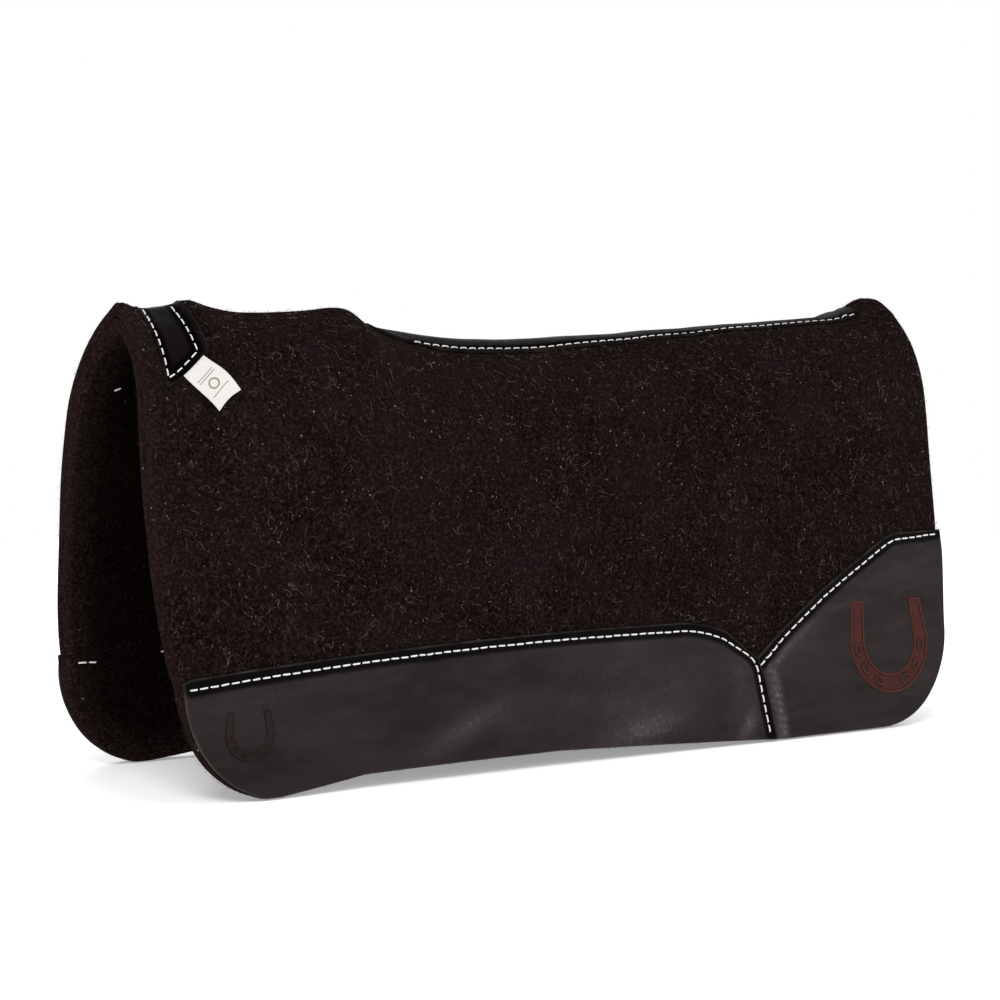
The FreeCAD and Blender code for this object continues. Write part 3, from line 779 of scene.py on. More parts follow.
def inlay_material(name):
    """Red-brown inlay: raised outline with a painted highlight, groove with painted shade, satin-stitched
    field.
    """
    sh = Shader(name)
    at = sh.add("TexCoord", output="Object")
    depth = sh.mark("depth")
    # Painted highlight on the raised outline, painted shade in the groove inside it.
    ridge = sh.times(sh.range(depth, 0.0002, 0.0008), sh.fade(depth, 0.0015, 0.0021))
    groove = sh.times(sh.range(depth, 0.0015, 0.0020), sh.fade(depth, 0.0024, 0.0030))
    satin = sh.add("TexWave", settings={"wave_type": "BANDS", "bands_direction": "DIAGONAL"},
                   Vector=at, Scale=420.0, Distortion=1.5, Detail=2.0)
    patch = sh.range(sh.noise(at, 60, 3), 0.3, 0.7)
    base = sh.mix(patch, (0.024, 0.0046, 0.0036), (0.050, 0.0085, 0.0058))
    base = sh.mix(sh.times(satin, 0.5), base, (0.078, 0.0165, 0.0105))
    base = sh.mix(sh.times(ridge, 0.8), base, (0.100, 0.0200, 0.0120))
    base = sh.mix(sh.times(groove, 0.95), base, (0.0030, 0.0010, 0.0010))
    return sh.finish(Base_Color=base, Roughness=0.5, Specular_IOR_Level=0.12,
                     Normal=sh.bump(satin, 0.00025, 0.5))


def fibre_material(name, colour):
    sh = Shader(name)
    at = sh.add("TexCoord", output="Object")
    base = sh.mix(sh.range(sh.noise(at, 45, 2), 0.35, 0.65), colour, tuple(0.45 * c for c in colour))
    return sh.finish(Base_Color=base, Roughness=0.7, Specular_IOR_Level=0.1)


def label_material(name):
    """White woven label: fine warp and weft, with a brown motif of stripes and a ring."""
    sh = Shader(name)
    at = sh.add("UVMap")
    across = sh.add("SeparateXYZ", output=0, Vector=at)
    down = sh.add("SeparateXYZ", output=1, Vector=at)
    warp = sh.math("ABSOLUTE", sh.math("SINE", sh.times(across, 260.0)))
    weft = sh.math("ABSOLUTE", sh.math("SINE", sh.times(down, 330.0)))
    weave = sh.times(warp, weft)
    base = sh.mix(weave, (0.62, 0.60, 0.57), (0.86, 0.84, 0.80))
    stripes = 0.0
    for place_along in (0.30, 0.36, 0.74):
        off = sh.away(across, place_along)
        stripes = sh.math("MAXIMUM", stripes, sh.fade(off, 0.006, 0.014))
    inset = sh.away(down, 0.5)
    stripes = sh.times(stripes, sh.fade(inset, 0.33, 0.36))
    ring_x = sh.times(sh.math("SUBTRACT", across, 0.55), 1.52)
    ring_y = sh.math("SUBTRACT", down, 0.5)
    reach = sh.math("SQRT", sh.plus(sh.times(ring_x, ring_x), sh.times(ring_y, ring_y)))
    ring = sh.fade(sh.away(reach, 0.155), 0.02, 0.035)
    motif = sh.math("MAXIMUM", stripes, ring)
    base = sh.mix(sh.times(motif, 0.85), base, (0.16, 0.125, 0.075))
    return sh.finish(Base_Color=base, Roughness=0.5, Sheen_Weight=0.3,
                     Normal=sh.bump(weave, 0.0002, 0.6))


def floor_material():
    sh = Shader("floor")
    at = sh.add("TexCoord", output="Object")
    base = sh.mix(sh.noise(at, 2, 2), (0.93, 0.93, 0.93), (0.95, 0.95, 0.95))
    return sh.finish(Base_Color=base, Roughness=0.9, Specular_IOR_Level=0.1,
                     Emission_Color=(1, 1, 1), Emission_Strength=0.3)


# ---- camera, floor and light ----
LENS = 92.24
CAMERA_PLACE = (-1.2396, -1.7302, 0.3329)
CAMERA_TILT, CAMERA_HEADING = math.radians(86.52), math.radians(-35.01)
WHITE = (1, 1, 1, 1)
WORLD_LIGHT = 0.42
FLOOR_REACH = 2.4
FLOOR_Z = -0.0005
# name, place, aim, size and power of each lamp
LIGHTS = (
    ("key", (-1.6, -1.7, 2.2), (0, 0, 0.2), (1.6, 1.2), 60),
    ("fill", (2.2, -2.2, 1.4), (0, 0, 0.15), (1.6, 1.6), 35),
    ("back", (0.6, 2.2, 1.9), (0, 0, 0.3), (2.2, 1.0), 45),
)


def camera():
    data = bpy.data.cameras.new("camera")
    data.lens = LENS
    data.sensor_width = 36
    obj = add_object("camera", data)
    obj.location = CAMERA_PLACE
    obj.rotation_euler = (CAMERA_TILT, 0, CAMERA_HEADING)
    bpy.context.scene.camera = obj


def area_light(name, location, target, size, power):
    data = bpy.data.lights.new(name, "AREA")
    data.shape = "RECTANGLE"
    data.size, data.size_y = size
    data.energy = power
    obj = add_object(name, data)
    obj.location = location
    aim = np.array(target) - np.array(location)
    flat = math.hypot(aim[0], aim[1])
    obj.rotation_euler = (math.atan2(flat, -aim[2]), 0, math.atan2(aim[1], aim[0]) - math.pi / 2)


def world():
    """White to the camera, dimmer as a light."""
    data = bpy.data.worlds.new("world")
    data.use_nodes = True
    tree = data.node_tree
    lighting = tree.nodes["Background"]
    lighting.inputs[0].default_value = WHITE
    lighting.inputs[1].default_value = WORLD_LIGHT
    backdrop = tree.nodes.new("ShaderNodeBackground")
    backdrop.inputs[0].default_value = WHITE
    path = tree.nodes.new("ShaderNodeLightPath")
    chosen = tree.nodes.new("ShaderNodeMixShader")
    tree.links.new(path.outputs["Is Camera Ray"], chosen.inputs[0])
    tree.links.new(lighting.outputs[0], chosen.inputs[1])
    tree.links.new(backdrop.outputs[0], chosen.inputs[2])
    tree.links.new(chosen.outputs[0], tree.nodes["World Output"].inputs[0])
    bpy.context.scene.world = data


def studio():
    bpy.context.scene.view_settings.view_transform = "Standard"
    camera()
    world()
    for light in LIGHTS:
        area_light(*light)
    mesh = bpy.data.meshes.new("floor")
    turn = np.linspace(0, 2 * math.pi, 97)[:-1]
    rim = [(FLOOR_REACH * math.cos(a), FLOOR_REACH * math.sin(a), FLOOR_Z) for a in turn]
    mesh.from_pydata(rim, [], [tuple(range(len(rim)))])
    mesh.materials.append(floor_material())
    add_object("floor", mesh)


# ---- relief: lifts above the felt surface ----
FRONT_ROW_LINE = on_leg(even(FRONT_ROW, 0.003))
REAR_ROW_LINE = on_leg(even(REAR_ROW, 0.003))
SEAM_LINE = on_leg(even(SEAM, 0.003))
BAND_FRONT, BAND_REAR = -0.368, -0.3245
BAND_RIDGE_FRONT = -0.361
BAND_TIP_Z, BAND_HEEL_Z = 0.3015, 0.3295
BAND_ENDS = distance_at(np.array([BAND_FRONT, BAND_REAR]), np.array([BAND_TIP_Z, BAND_HEEL_Z]))
BAND_CORNERS = np.array([(BAND_RIDGE_FRONT, 0), (BAND_FRONT, BAND_ENDS[0]),
                         (BAND_REAR, BAND_ENDS[1]), (BAND_REAR, 0)])
BAND_PRESS = 3.0 * MM
STRIP_START, STRIP_END = -0.157, 0.356
STRIP_HALF = 0.0255
STRIP_ROW = 0.021
STRIP_CORNER = 0.012
STRIP_NOSE = np.array([(0.0, 0.0035), (0.017, 0.0155), (0.031, 0.0215), (0.045, 0.0245), (0.060, 0.0255)])
STRIP_ROW_START = 0.032
STRIP_ROW_END = 0.006
LEATHER_WAVES = waves(8, 12, 0.03, 0.11)


def band_end(x):
    return np.interp(x, [BAND_FRONT, BAND_REAR], BAND_ENDS)


def band_front(distance):
    """The band's front edge slants forwards from the ridge to its tip."""
    return BAND_RIDGE_FRONT + (BAND_FRONT - BAND_RIDGE_FRONT) * distance / BAND_ENDS[0]


def strip_half(x):
    """Half width of the strip, narrower at its front end."""
    return np.interp(x - STRIP_START, STRIP_NOSE[:, 0], STRIP_NOSE[:, 1])


def strip_near(flat):
    """Distance from the strip's stitch rows."""
    x = flat[:, 0]
    past = np.maximum(STRIP_START + STRIP_ROW_START - x, x - STRIP_END + STRIP_ROW_END)
    return np.hypot(np.abs(flat[:, 1]) - STRIP_ROW, np.maximum(past, 0))


def pressed(flat):
    """How the wither band and the strip pull the felt in, and how it swells beside them."""
    x, distance = flat[:, 0], np.abs(flat[:, 1])
    past_strip = distance - strip_half(x)
    band = smooth(-0.004, 0.003, x - band_front(distance)) * smooth(BAND_REAR + 0.004, BAND_REAR - 0.003, x)
    band = band * smooth(0.005, -0.004, distance - band_end(x))
    swell = bell(x - BAND_REAR - 0.008, 0.007) * smooth(0.095, 0.06, distance)
    strip = smooth(STRIP_START - 0.003, STRIP_START + 0.004, x)
    strip = strip * smooth(STRIP_END + 0.004, STRIP_END - 0.004, x) * smooth(0.004, -0.004, past_strip)
    beside_strip = bell(past_strip - 0.007, 0.005) * smooth(STRIP_START, STRIP_START + 0.02, x)
    return -BAND_PRESS * band + 1.0 * MM * swell - 1.2 * MM * strip + 0.7 * MM * beside_strip


def past_seam(flat):
    """How far behind the seam between the wear leathers a place is."""
    return flat[:, 0] - np.interp(flat[:, 1], SEAM_LINE[:, 1], SEAM_LINE[:, 0])


def near_rows(flat):
    return np.minimum(to_segments(flat, FRONT_ROW_LINE), to_segments(flat, REAR_ROW_LINE))


def felt_top(flat, depth):
    return -rounded(depth, 4.6 * MM) + pressed(flat) - 1.0 * MM * bell(near_rows(flat), 0.008)


def felt_seam_upper(flat, depth):
    return -FELT_LAYER + 0.1 * MM + rounded(depth, 1.3 * MM)


def felt_seam_lower(flat, depth):
    return -FELT_LAYER - 0.1 * MM - rounded(depth, 1.3 * MM)


def felt_back(flat, depth):
    """Inner face of the pad: a groove behind the stitch rows, thinner towards the lower edges."""
    low = smooth(0.11, 0.05, floor_distance(flat[:, 0]) - flat[:, 1])
    thin = (3.0 + 5.0 * smooth(-0.26, -0.34, flat[:, 0])) * MM * smooth(0.040, 0.0, depth) * low
    return -FELT + rounded(depth, 3.6 * MM) + 2.2 * MM * bell(near_rows(flat), 0.0045) + thin


def leather_waves(flat):
    points = np.stack([flat[:, 0], flat[:, 1], 0 * flat[:, 0]], axis=1)
    return ripple(points, LEATHER_WAVES)


def leather_under(flat, depth):
    """Underside of a wear leather: pulled in at its stitches, loose and slightly wavy elsewhere."""
    near = near_rows(flat)
    loose = smooth(0.004, 0.035, near) * smooth(0.0, 0.03, depth)
    return GLUE - 0.7 * MM * bell(near, 0.005) + loose * (1.1 + 0.45 * leather_waves(flat)) * MM


def channel(near):
    return 0.55 * MM * bell(near, 1.15 * MM)


def front_under(flat, depth):
    lip = smooth(0.018, 0.003, to_segments(flat, SEAM_LINE))
    return leather_under(flat, depth) + 2.0 * MM * lip


def front_top(flat, depth):
    near = to_segments(flat, FRONT_ROW_LINE)
    return front_under(flat, depth) + LEATHER - channel(near) - rounded(depth, 1.1 * MM)


def rear_under(flat, depth):
    behind = past_seam(flat)
    swell = bell(behind - 0.015, 0.010) * smooth(0.0, 0.02, depth)
    return leather_under(flat, depth) * smooth(0.0, 0.01, behind) + 1.5 * MM * swell


def rear_top(flat, depth):
    behind = past_seam(flat)
    skived = 0.9 * MM * smooth(0.006, -0.004, behind)
    near = to_segments(flat, REAR_ROW_LINE)
    return rear_under(flat, depth) + LEATHER - skived - channel(near) - rounded(depth, 1.1 * MM)


def band_row():
    """Stitch row of one half of the band: down its front, along its slanted end, up its rear."""
    front_x, rear_x = BAND_FRONT + 0.0038, BAND_REAR - 0.009
    ridge_x = BAND_RIDGE_FRONT + 0.0038
    start = 0.004
    tip, heel = band_end(front_x) - 0.007, band_end(rear_x) - 0.008
    return np.array([(ridge_x, start), (front_x, tip), (rear_x, heel), (rear_x, start)])


BAND_ROW = band_row()


def band_under(flat, depth):
    near = to_segments(flat, BAND_ROW)
    return pressed(flat) + GLUE + 0.3 * MM * smooth(0.002, 0.012, near)


def band_top(flat, depth):
    near = to_segments(flat, BAND_ROW)
    return band_under(flat, depth) + LEATHER - channel(near) - rounded(depth, 0.9 * MM)


def strip_under(flat, depth):
    edge = smooth(0.010, 0.0, strip_half(flat[:, 0]) - np.abs(flat[:, 1]))
    return pressed(flat) + GLUE + 0.25 * MM * edge + 0.3 * MM * leather_waves(flat) * smooth(0, 0.01, depth)


def strip_top(flat, depth):
    """Upper side of the strip, with two creases across its rear end where it turns up."""
    near = strip_near(flat)
    at = flat[:, 0] + 0.12 * np.abs(flat[:, 1]) - STRIP_END
    creases = bell(at + 0.021, 0.0022) + 0.7 * bell(at + 0.010, 0.0018)
    folds = 0.7 * MM * bell(at + 0.016, 0.004)
    return (strip_under(flat, depth) + LEATHER - channel(near) - rounded(depth, 1.0 * MM)
            - 1.0 * MM * creases + folds)


# ---- felt ----
FELT_SPACING = 0.0055


def attach(piece, body, node):
    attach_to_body(piece, body)
    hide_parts(node)


def bend(piece, side_name, side, slot):
    """Bake the piece's transform into its mesh."""
    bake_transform(piece)


def outer_loop():
    """Edge of a felt half as surface places, closed along the spine."""
    side = pad_edge()
    keep = side[:, 1] < np.interp(side[:, 0], CROWN_X, CROWN_Z)
    edge = to_surface(even(side[keep], 0.002))
    edge[0, 1] = 0
    edge = even(chain(edge, [[HALF_LENGTH, 0.0]]) if edge[-1, 1] > 0 else edge, 0.004)
    ridge = even([(HALF_LENGTH, 0.0), edge[0]], 0.004)
    return closed(chain(edge, ridge))


def felt_layers(side_name, side):
    loop = outer_loop()
    rings = (0.3 * MM, 0.9 * MM, 2.0 * MM, 3.4 * MM, 4.8 * MM)
    details = [(FRONT_ROW_LINE[FRONT_ROW_LINE[:, 0] > -0.372], (-0.004, 0.0, 0.004), 0.005),
               (REAR_ROW_LINE, (-0.004, 0.0, 0.004), 0.005)]
    for layer, top, bottom, look in (("outer", felt_top, felt_seam_upper, FELT_LOOK),
                                     ("inner", felt_seam_lower, felt_back, SHADED_INNER_FELT_LOOK)):
        piece = solid("felt_" + layer + "_piece_" + side_name, loop, FELT_SPACING, rings, top, bottom,
                      side, look, details=details)
        bend(piece, side_name, side, layer + "_felt")
        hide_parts("felt_" + layer + "_" + side_name)


# ---- leather ----
FRONT_RIM = on_leg(even(chain(FRONT_LEATHER_TOP, FRONT_SHOULDER, SEAM), 0.003))
REAR_RIM = on_leg(even(chain(REAR_RISE, REAR_CURVE, REAR_END), 0.003))
MARGIN = 0.0056              # nearer than this to a leather's rim is above its stitch row
BURNISHED = 0.0012           # the row distance that such places are given, so that they are dark too


def front_marks(flat):
    return np.where(to_segments(flat, FRONT_RIM) < MARGIN, BURNISHED, to_segments(flat, FRONT_ROW_LINE))


def rear_marks(flat):
    return np.where(to_segments(flat, REAR_RIM) < 0.8 * MARGIN, BURNISHED, near_rows(flat))


def highlight_patch(x, low, centre, size, tilt):
    """Soft oval painted highlight around a centre (x, height), tilted so that it rises rearwards."""
    along = (x - centre[0]) * math.cos(tilt) + (low - centre[1]) * math.sin(tilt)
    over = (low - centre[1]) * math.cos(tilt) - (x - centre[0]) * math.sin(tilt)
    return np.exp(-(along / size[0]) ** 2 - (over / size[1]) ** 2)


# strength, centre (x, height), size (along, over) and tilt of each painted highlight patch
FRONT_HIGHLIGHTS = (
    (0.38, (-0.138, 0.037), (0.038, 0.009), 0.42), (0.10, (-0.020, 0.050), (0.060, 0.030), 0.30),
    (0.60, (0.040, 0.022), (0.036, 0.010), 0.15), (0.18, (0.060, 0.045), (0.050, 0.020), 0.30),
    (0.70, (0.1485, 0.016), (0.013, 0.006), 0.9), (0.16, (0.145, 0.045), (0.018, 0.035), 0.0),
    (0.10, (-0.300, 0.075), (0.060, 0.012), 0.1),
)


def front_shine(flat):
    """Painted highlight patches low on the front leather, and beside its seam."""
    x = flat[:, 0]
    low = floor_distance(x) - flat[:, 1]
    return sum(strength * highlight_patch(x, low, *patch) for strength, *patch in FRONT_HIGHLIGHTS)


def rear_shine(flat):
    """Painted highlights on the rear leather's swelling behind the seam and along its rising fold, striped
    as light on wrinkles.
    """
    behind = past_seam(flat)
    low = floor_distance(flat[:, 0]) - flat[:, 1]
    wrinkle_highlights = 0.72 + 0.28 * np.sin(950 * low + 260 * behind)
    swelling = 1.25 * bell(behind - 0.0100, 0.0040) * smooth(0.070, 0.060, low) * wrinkle_highlights
    swelling += 0.40 * bell(behind - 0.0050, 0.0035) * smooth(0.062, 0.050, low) * wrinkle_highlights
    near = to_segments(flat, REAR_ROW_LINE)
    fold = 0.60 * bell(near - 0.0095, 0.0028) * smooth(0.26, 0.18, flat[:, 0])
    upper = 0.10 * bell(near - 0.016, 0.008) * smooth(0.30, 0.22, flat[:, 0])
    return np.maximum(swelling, (fold + upper) * smooth(0.0, 0.006, behind))


EDGE_RINGS = (0.25 * MM, 0.6 * MM, 1.1 * MM)
ROW_DETAIL = (-2.6 * MM, -1.5 * MM, -0.8 * MM, 0.0, 0.8 * MM, 1.5 * MM, 2.6 * MM)


def wear_leathers(side_name, side):
    kinds = (("front", front_leather_loop, front_top, front_under, front_marks, front_shine, FRONT_ROW_LINE),
             ("rear", rear_leather_loop, rear_top, rear_under, rear_marks, rear_shine, REAR_ROW_LINE))
    rings = (*EDGE_RINGS, 2.0 * MM)
    for which, loop, top, under, marks, shine, row in kinds:
        piece = solid(which + "_leather_piece_" + side_name, loop(), 0.003, rings, top, under, side,
                      LEATHER_LOOK, marks=marks, shine=shine, details=[(row, ROW_DETAIL, 0.0025)])
        attach(piece, side_name + "_half", which + "_leather_" + side_name)


def back_of_felt(flat, depth):
    return felt_back(flat, deep(flat))


def both_faces(row, top, side, seed, inner_seed, radius=THREAD_RADIUS):
    """A row's thread runs on the outside of the pad and on its inside."""
    return [stitches("shown", row, top, side, seed, radius=radius),
            stitches("behind", row, back_of_felt, side, inner_seed, inner=True)]


def leather_stitching(side_name, side):
    rows = (("front", FRONT_ROW_LINE, front_top, 21), ("rear", REAR_ROW_LINE, rear_top, 22))
    for which, row, top, seed in rows:
        runs = both_faces(row, top, side, seed + 10 * side, seed + 5)
        piece = join(which + "_leather_thread_" + side_name, runs)
        attach(piece, side_name + "_half", which + "_leather_stitches_" + side_name)


def wither_band(side_name, side):
    """One half of the band: its outline runs down the front, along the slanted end and up the rear."""
    edges = zip(BAND_CORNERS, np.roll(BAND_CORNERS, -1, axis=0))
    loop = closed(chain(*[even(edge, 0.002) for edge in edges]))
    piece = solid("wither_band_piece_" + side_name, loop, 0.0025, EDGE_RINGS, band_top, band_under, side,
                  SPINE_LEATHER_LOOK, marks=lambda p: to_segments(p, BAND_ROW),
                  details=[(BAND_ROW, (-1.4 * MM, -0.7 * MM, 0.0, 0.7 * MM, 1.4 * MM), 0.002)])
    bend(piece, side_name, side, "spine_leather")
    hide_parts("wither_band")


def spine_strip():
    x0, x1, half, r = STRIP_START, STRIP_END, STRIP_HALF, STRIP_CORNER
    k = r * (1 - math.sqrt(0.5))
    nose = STRIP_NOSE + (x0, 0)
    loop = chain(even(nose * (1, -1), 0.0025),
                 even([(x0 + 0.060, -half), (x1 - r, -half)], 0.0025),
                 arc((x1 - r, -half), (x1 - k, k - half), (x1, r - half), 12),
                 even([(x1, r - half), (x1, half - r)], 0.002),
                 arc((x1, half - r), (x1 - k, half - k), (x1 - r, half), 12),
                 even([(x1 - r, half), (x0 + 0.060, half)], 0.0025),
                 even(nose[::-1], 0.0025),
                 even([nose[0], nose[0] * (1, -1)], 0.002))
    row_start, row_end = x0 + STRIP_ROW_START, x1 - STRIP_ROW_END
    rows = [np.array([(row_start, way * STRIP_ROW), (row_end, way * STRIP_ROW)]) for way in (-1, 1)]
    ridge = np.array([(x0 + 0.004, 0.0), (x1 - 0.004, 0.0)])
    details = [(row, (-1.5 * MM, -0.8 * MM, 0.0, 0.8 * MM, 1.5 * MM), 0.0025) for row in rows]
    details.append((ridge, (-2.2 * MM, -1.0 * MM, 0.0, 1.0 * MM, 2.2 * MM), 0.0025))
    piece = solid("spine_strip_piece", closed(loop), 0.003, EDGE_RINGS, strip_top,
                  strip_under, 0, SPINE_LEATHER_LOOK, marks=strip_near, details=details)
    attach(piece, "spine", "spine_strip")


def spine_stitching(side_name, side):
    row = np.array([(STRIP_START + STRIP_ROW_START, STRIP_ROW), (STRIP_END - STRIP_ROW_END, STRIP_ROW)])
    runs = both_faces(row, strip_top, side, 31 + side, 34 + side, STRIP_THREAD_RADIUS)
    piece = join("spine_strip_thread_" + side_name, runs)
    attach(piece, "spine", "strip_stitches_" + side_name)


def band_stitching(side_name, side):
    runs = []
    for number in range(len(BAND_ROW) - 1):
        leg = BAND_ROW[number:number + 2]
        seeds = 41 + number + 4 * side, 61 + number
        runs += both_faces(leg, band_top, side, *seeds, BAND_THREAD_RADIUS)
    piece = join("wither_band_thread_" + side_name, runs)
    bend(piece, side_name, side, "white_thread")
    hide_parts("band_stitches_" + side_name)


# ---- emblems ----
SHOE_HEEL = 0.75             # a horseshoe's proportions, in outer radii
SHOE_WEB = 0.36
NAIL_ANGLES = (-10, -38, -66, 190, 218, 246)


def horseshoe(node):
    """Outline and nail holes of a horseshoe emblem, sized and placed by its CAD node."""
    low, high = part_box(node)
    radius = (high.x - low.x) / 2
    centre = np.array([(low.x + high.x) / 2, low.z + radius])
    inner = 1 - SHOE_WEB
    half = np.array([(0.86, SHOE_HEEL), (1.0, 0.0)])
    bottom = arc((1, 0), (0, -1), (-1, 0), 48)
    outside = chain(half, bottom, half[::-1] * (-1, 1))
    throat = np.array([(-0.9 * inner, SHOE_HEEL), (-inner, 0.0)])
    hollow = arc((-inner, 0), (0, -inner), (inner, 0), 36)
    outline = chain(outside, throat, hollow, throat[::-1] * (-1, 1), half[:1])
    loop = closed(on_leg(centre + radius * outline[::-1]))
    turn = np.linspace(0, 2 * math.pi, 13)[:-1]
    nail = pairs(np.cos(turn), np.sin(turn))
    holes = []
    for degrees in NAIL_ANGLES:
        way = np.array([math.cos(math.radians(degrees)), math.sin(math.radians(degrees))])
        across = np.array([-way[1], way[0]])
        middle = centre + radius * (1 - SHOE_WEB / 2) * way
        slot = 0.045 * nail[:, :1] * way + 0.085 * nail[:, 1:] * across
        holes.append(on_leg(middle + radius * slot))
    return closed(even(np.concatenate([loop, loop[:1]]), radius / 45)), holes


def emblem(name, node, side_name, side, top, look, ridge, field, spacing):
    """A horseshoe on the leather: raised outline of one height, inner field of another."""
    loop, holes = horseshoe(node)
    unit = spacing / (0.8 * MM)

    def under(flat, depth):
        return top(flat, deep(flat)) - 0.3 * MM

    def over(flat, depth):
        edge = ridge * bell(depth - 1.1 * MM * unit, 0.75 * MM * unit)
        inside_edge = field * smooth(2.0 * MM * unit, 3.0 * MM * unit, depth)
        return under(flat, depth) + 0.38 * MM + edge + inside_edge

    rings = [step * MM * unit for step in (0.35, 0.75, 1.1, 1.5, 1.95, 2.5, 3.0)]
    piece = solid(name + side_name, loop, spacing, rings, over, under, side, look, holes=holes,
                  marks=lambda p: np.full(len(p), 0.02))
    attach(piece, side_name + "_half", node)


# ---- label ----
TAG_CENTRE = (-0.331, 0.3045)
TAG_SIZE = (0.038, 0.025)
TAG_THICKNESS = 0.35 * MM
TAG_STITCH_RADIUS = 0.42 * MM
TAG_TURN = math.radians(34)


def tag_places(along, across):
    """Surface places of points given in the tag's own frame: along hangs down and rearwards."""
    centre = to_surface(np.array([TAG_CENTRE]))[0]
    x = centre[0] + along * math.sin(TAG_TURN) + across * math.cos(TAG_TURN)
    distance = centre[1] + along * math.cos(TAG_TURN) - across * math.sin(TAG_TURN)
    return x, distance


def tag_lift(along, across):
    """The tag leaves the band's end flat, then bows off the felt and rolls at its free corners."""
    out = smooth(-0.5, 0.5, along / TAG_SIZE[0])
    roll = 1.6 * MM * out * (across / TAG_SIZE[1] * 2) ** 2
    wave = 0.35 * MM * np.sin(along * 210 + across * 60)
    return 0.9 * MM + 2.4 * MM * out + roll + wave * out


def woven_tag():
    length, width = TAG_SIZE
    rows, columns = 44, 30
    u, v = np.meshgrid(np.linspace(-0.5, 0.5, rows), np.linspace(-0.5, 0.5, columns), indexing="ij")
    along, across = (u * length).ravel(), (v * width).ravel()
    x, distance = tag_places(along, across)
    upper = place(x, distance, tag_lift(along, across) + TAG_THICKNESS, -1)
    lower = place(x, distance, tag_lift(along, across), -1)
    count = rows * columns
    grid = np.arange(count).reshape(rows, columns)
    quads = np.stack([grid[:-1, :-1], grid[1:, :-1], grid[1:, 1:], grid[:-1, 1:]], axis=-1).reshape(-1, 4)
    rim = np.concatenate([grid[0, :-1], grid[:-1, -1], grid[-1, :0:-1], grid[:0:-1, 0]])
    following = np.roll(rim, -1)
    walls = np.stack([rim, following, following + count, rim + count], axis=1)
    faces = np.concatenate([quads, quads[:, ::-1] + count, walls])
    points = np.concatenate([upper, lower])
    piece = new_object("woven_tag_piece", points, faces, LABEL_LOOK)
    uv = piece.data.uv_layers.new(name="UVMap")
    flat = pairs(np.tile(u.ravel() + 0.5, 2), np.tile(v.ravel() + 0.5, 2))
    corners = np.empty(len(piece.data.loops), int)
    piece.data.loops.foreach_get("vertex_index", corners)
    uv.data.foreach_set("uv", flat[corners].ravel())
    attach(piece, "tag", "woven_tag")


def tag_thread():
    """Short satin stitches side by side across the sewn end of the tag."""
    across = np.arange(-0.0105, 0.0106, 0.0011)
    share = np.linspace(-0.5, 0.5, 9)
    along = -TAG_SIZE[0] / 2 + 0.0028 + share[None] * 0.0032 + 0 * across[:, None]
    over = across[:, None] + 0.0004 * share[None]
    x, distance = tag_places(along.ravel(), over.ravel())
    dip = np.tile(0.5 * MM * (2 * share) ** 6, len(across))
    lift = tag_lift(along.ravel(), over.ravel()) + 0.55 * MM - dip
    paths = place(x, distance, lift, -1).reshape(len(across), 9, 3)
    normals = outward(x, distance, -1).reshape(paths.shape)
    piece = tubes("tag_thread", paths, normals, TAG_STITCH_RADIUS, 8, THREAD_LOOK, 0.1, 0.8)
    attach(piece, "tag", "tag_stitch")


LACING_REACH = 0.006         # how far each run crosses into a half
LACING_PITCH = 0.0124
LACING_RADIUS = 0.7 * MM


def spine_joint_thread():
    """Zigzag lacing under the ridge that holds the two felt halves together."""
    low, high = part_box("spine_joint_stitches")
    reach, pitch = LACING_REACH, LACING_PITCH
    middle = np.arange(low.x + 0.004, high.x - 0.003, pitch)
    share = np.linspace(-0.5, 0.5, 13)
    lean = np.where(np.arange(len(middle)) % 2 == 0, 1, -1)[:, None] * pitch / 2
    x = middle[:, None] + 2 * lean * share[None] * 0.9
    y = 2 * reach * share[None] + 0 * x
    hang = place(x.ravel(), np.full(x.size, reach / math.cos(SLOPE)), np.full(x.size, -FELT), 1)[:, 2]
    z = hang.reshape(x.shape) - 0.9 * MM + 2.4 * MM * (2 * share[None]) ** 8
    paths = np.stack([x, y, z], axis=2)
    normals = np.broadcast_to(np.array([0.0, 0.0, -1.0]), paths.shape)
    piece = tubes("spine_joint_thread", paths, normals, LACING_RADIUS, 8, THREAD_LOOK, 0.12, 2.0)
    attach(piece, "spine", "spine_joint_stitches")


# ---- loose wool ----
FIBRE_TAPER = np.array([0.5, 1, 1, 1, 0.9, 0.4])
LOWEST_FIBRE = 0.5 * MM
EDGE_FIBRES = 3000
INNER_FIBRES = 2600
CROWN_FREE = 0.014           # no fibres inside the pad nearer the spine than this


def curled(base, normal, length, draw, rise):
    """Paths of fibres that start at base points, wander over the surface and lift a little."""
    count, rings = len(base), len(FIBRE_TAPER)
    random_way = draw.normal(size=(count, 3))
    first = unit(np.cross(normal, random_way))
    second = np.cross(normal, first)
    t = np.linspace(0, 1, rings)[None]
    bend = draw.normal(0, 1.5, count)[:, None]
    kink = draw.normal(0, 0.9, count)[:, None]
    heading = bend * t + kink * np.sin(draw.uniform(3, 8, count)[:, None] * t)
    step = length[:, None] / (rings - 1)
    ahead = np.cumsum(np.cos(heading) * step, axis=1) - np.cos(heading[:, :1]) * step
    aside = np.cumsum(np.sin(heading) * step, axis=1) - np.sin(heading[:, :1]) * step
    lift = rise[:, None] * np.sin(math.pi * np.clip(t * draw.uniform(0.55, 1.05, count)[:, None], 0, 1))
    return (base[:, None] + first[:, None] * ahead[..., None] + second[:, None] * aside[..., None]
            + normal[:, None] * lift[..., None])


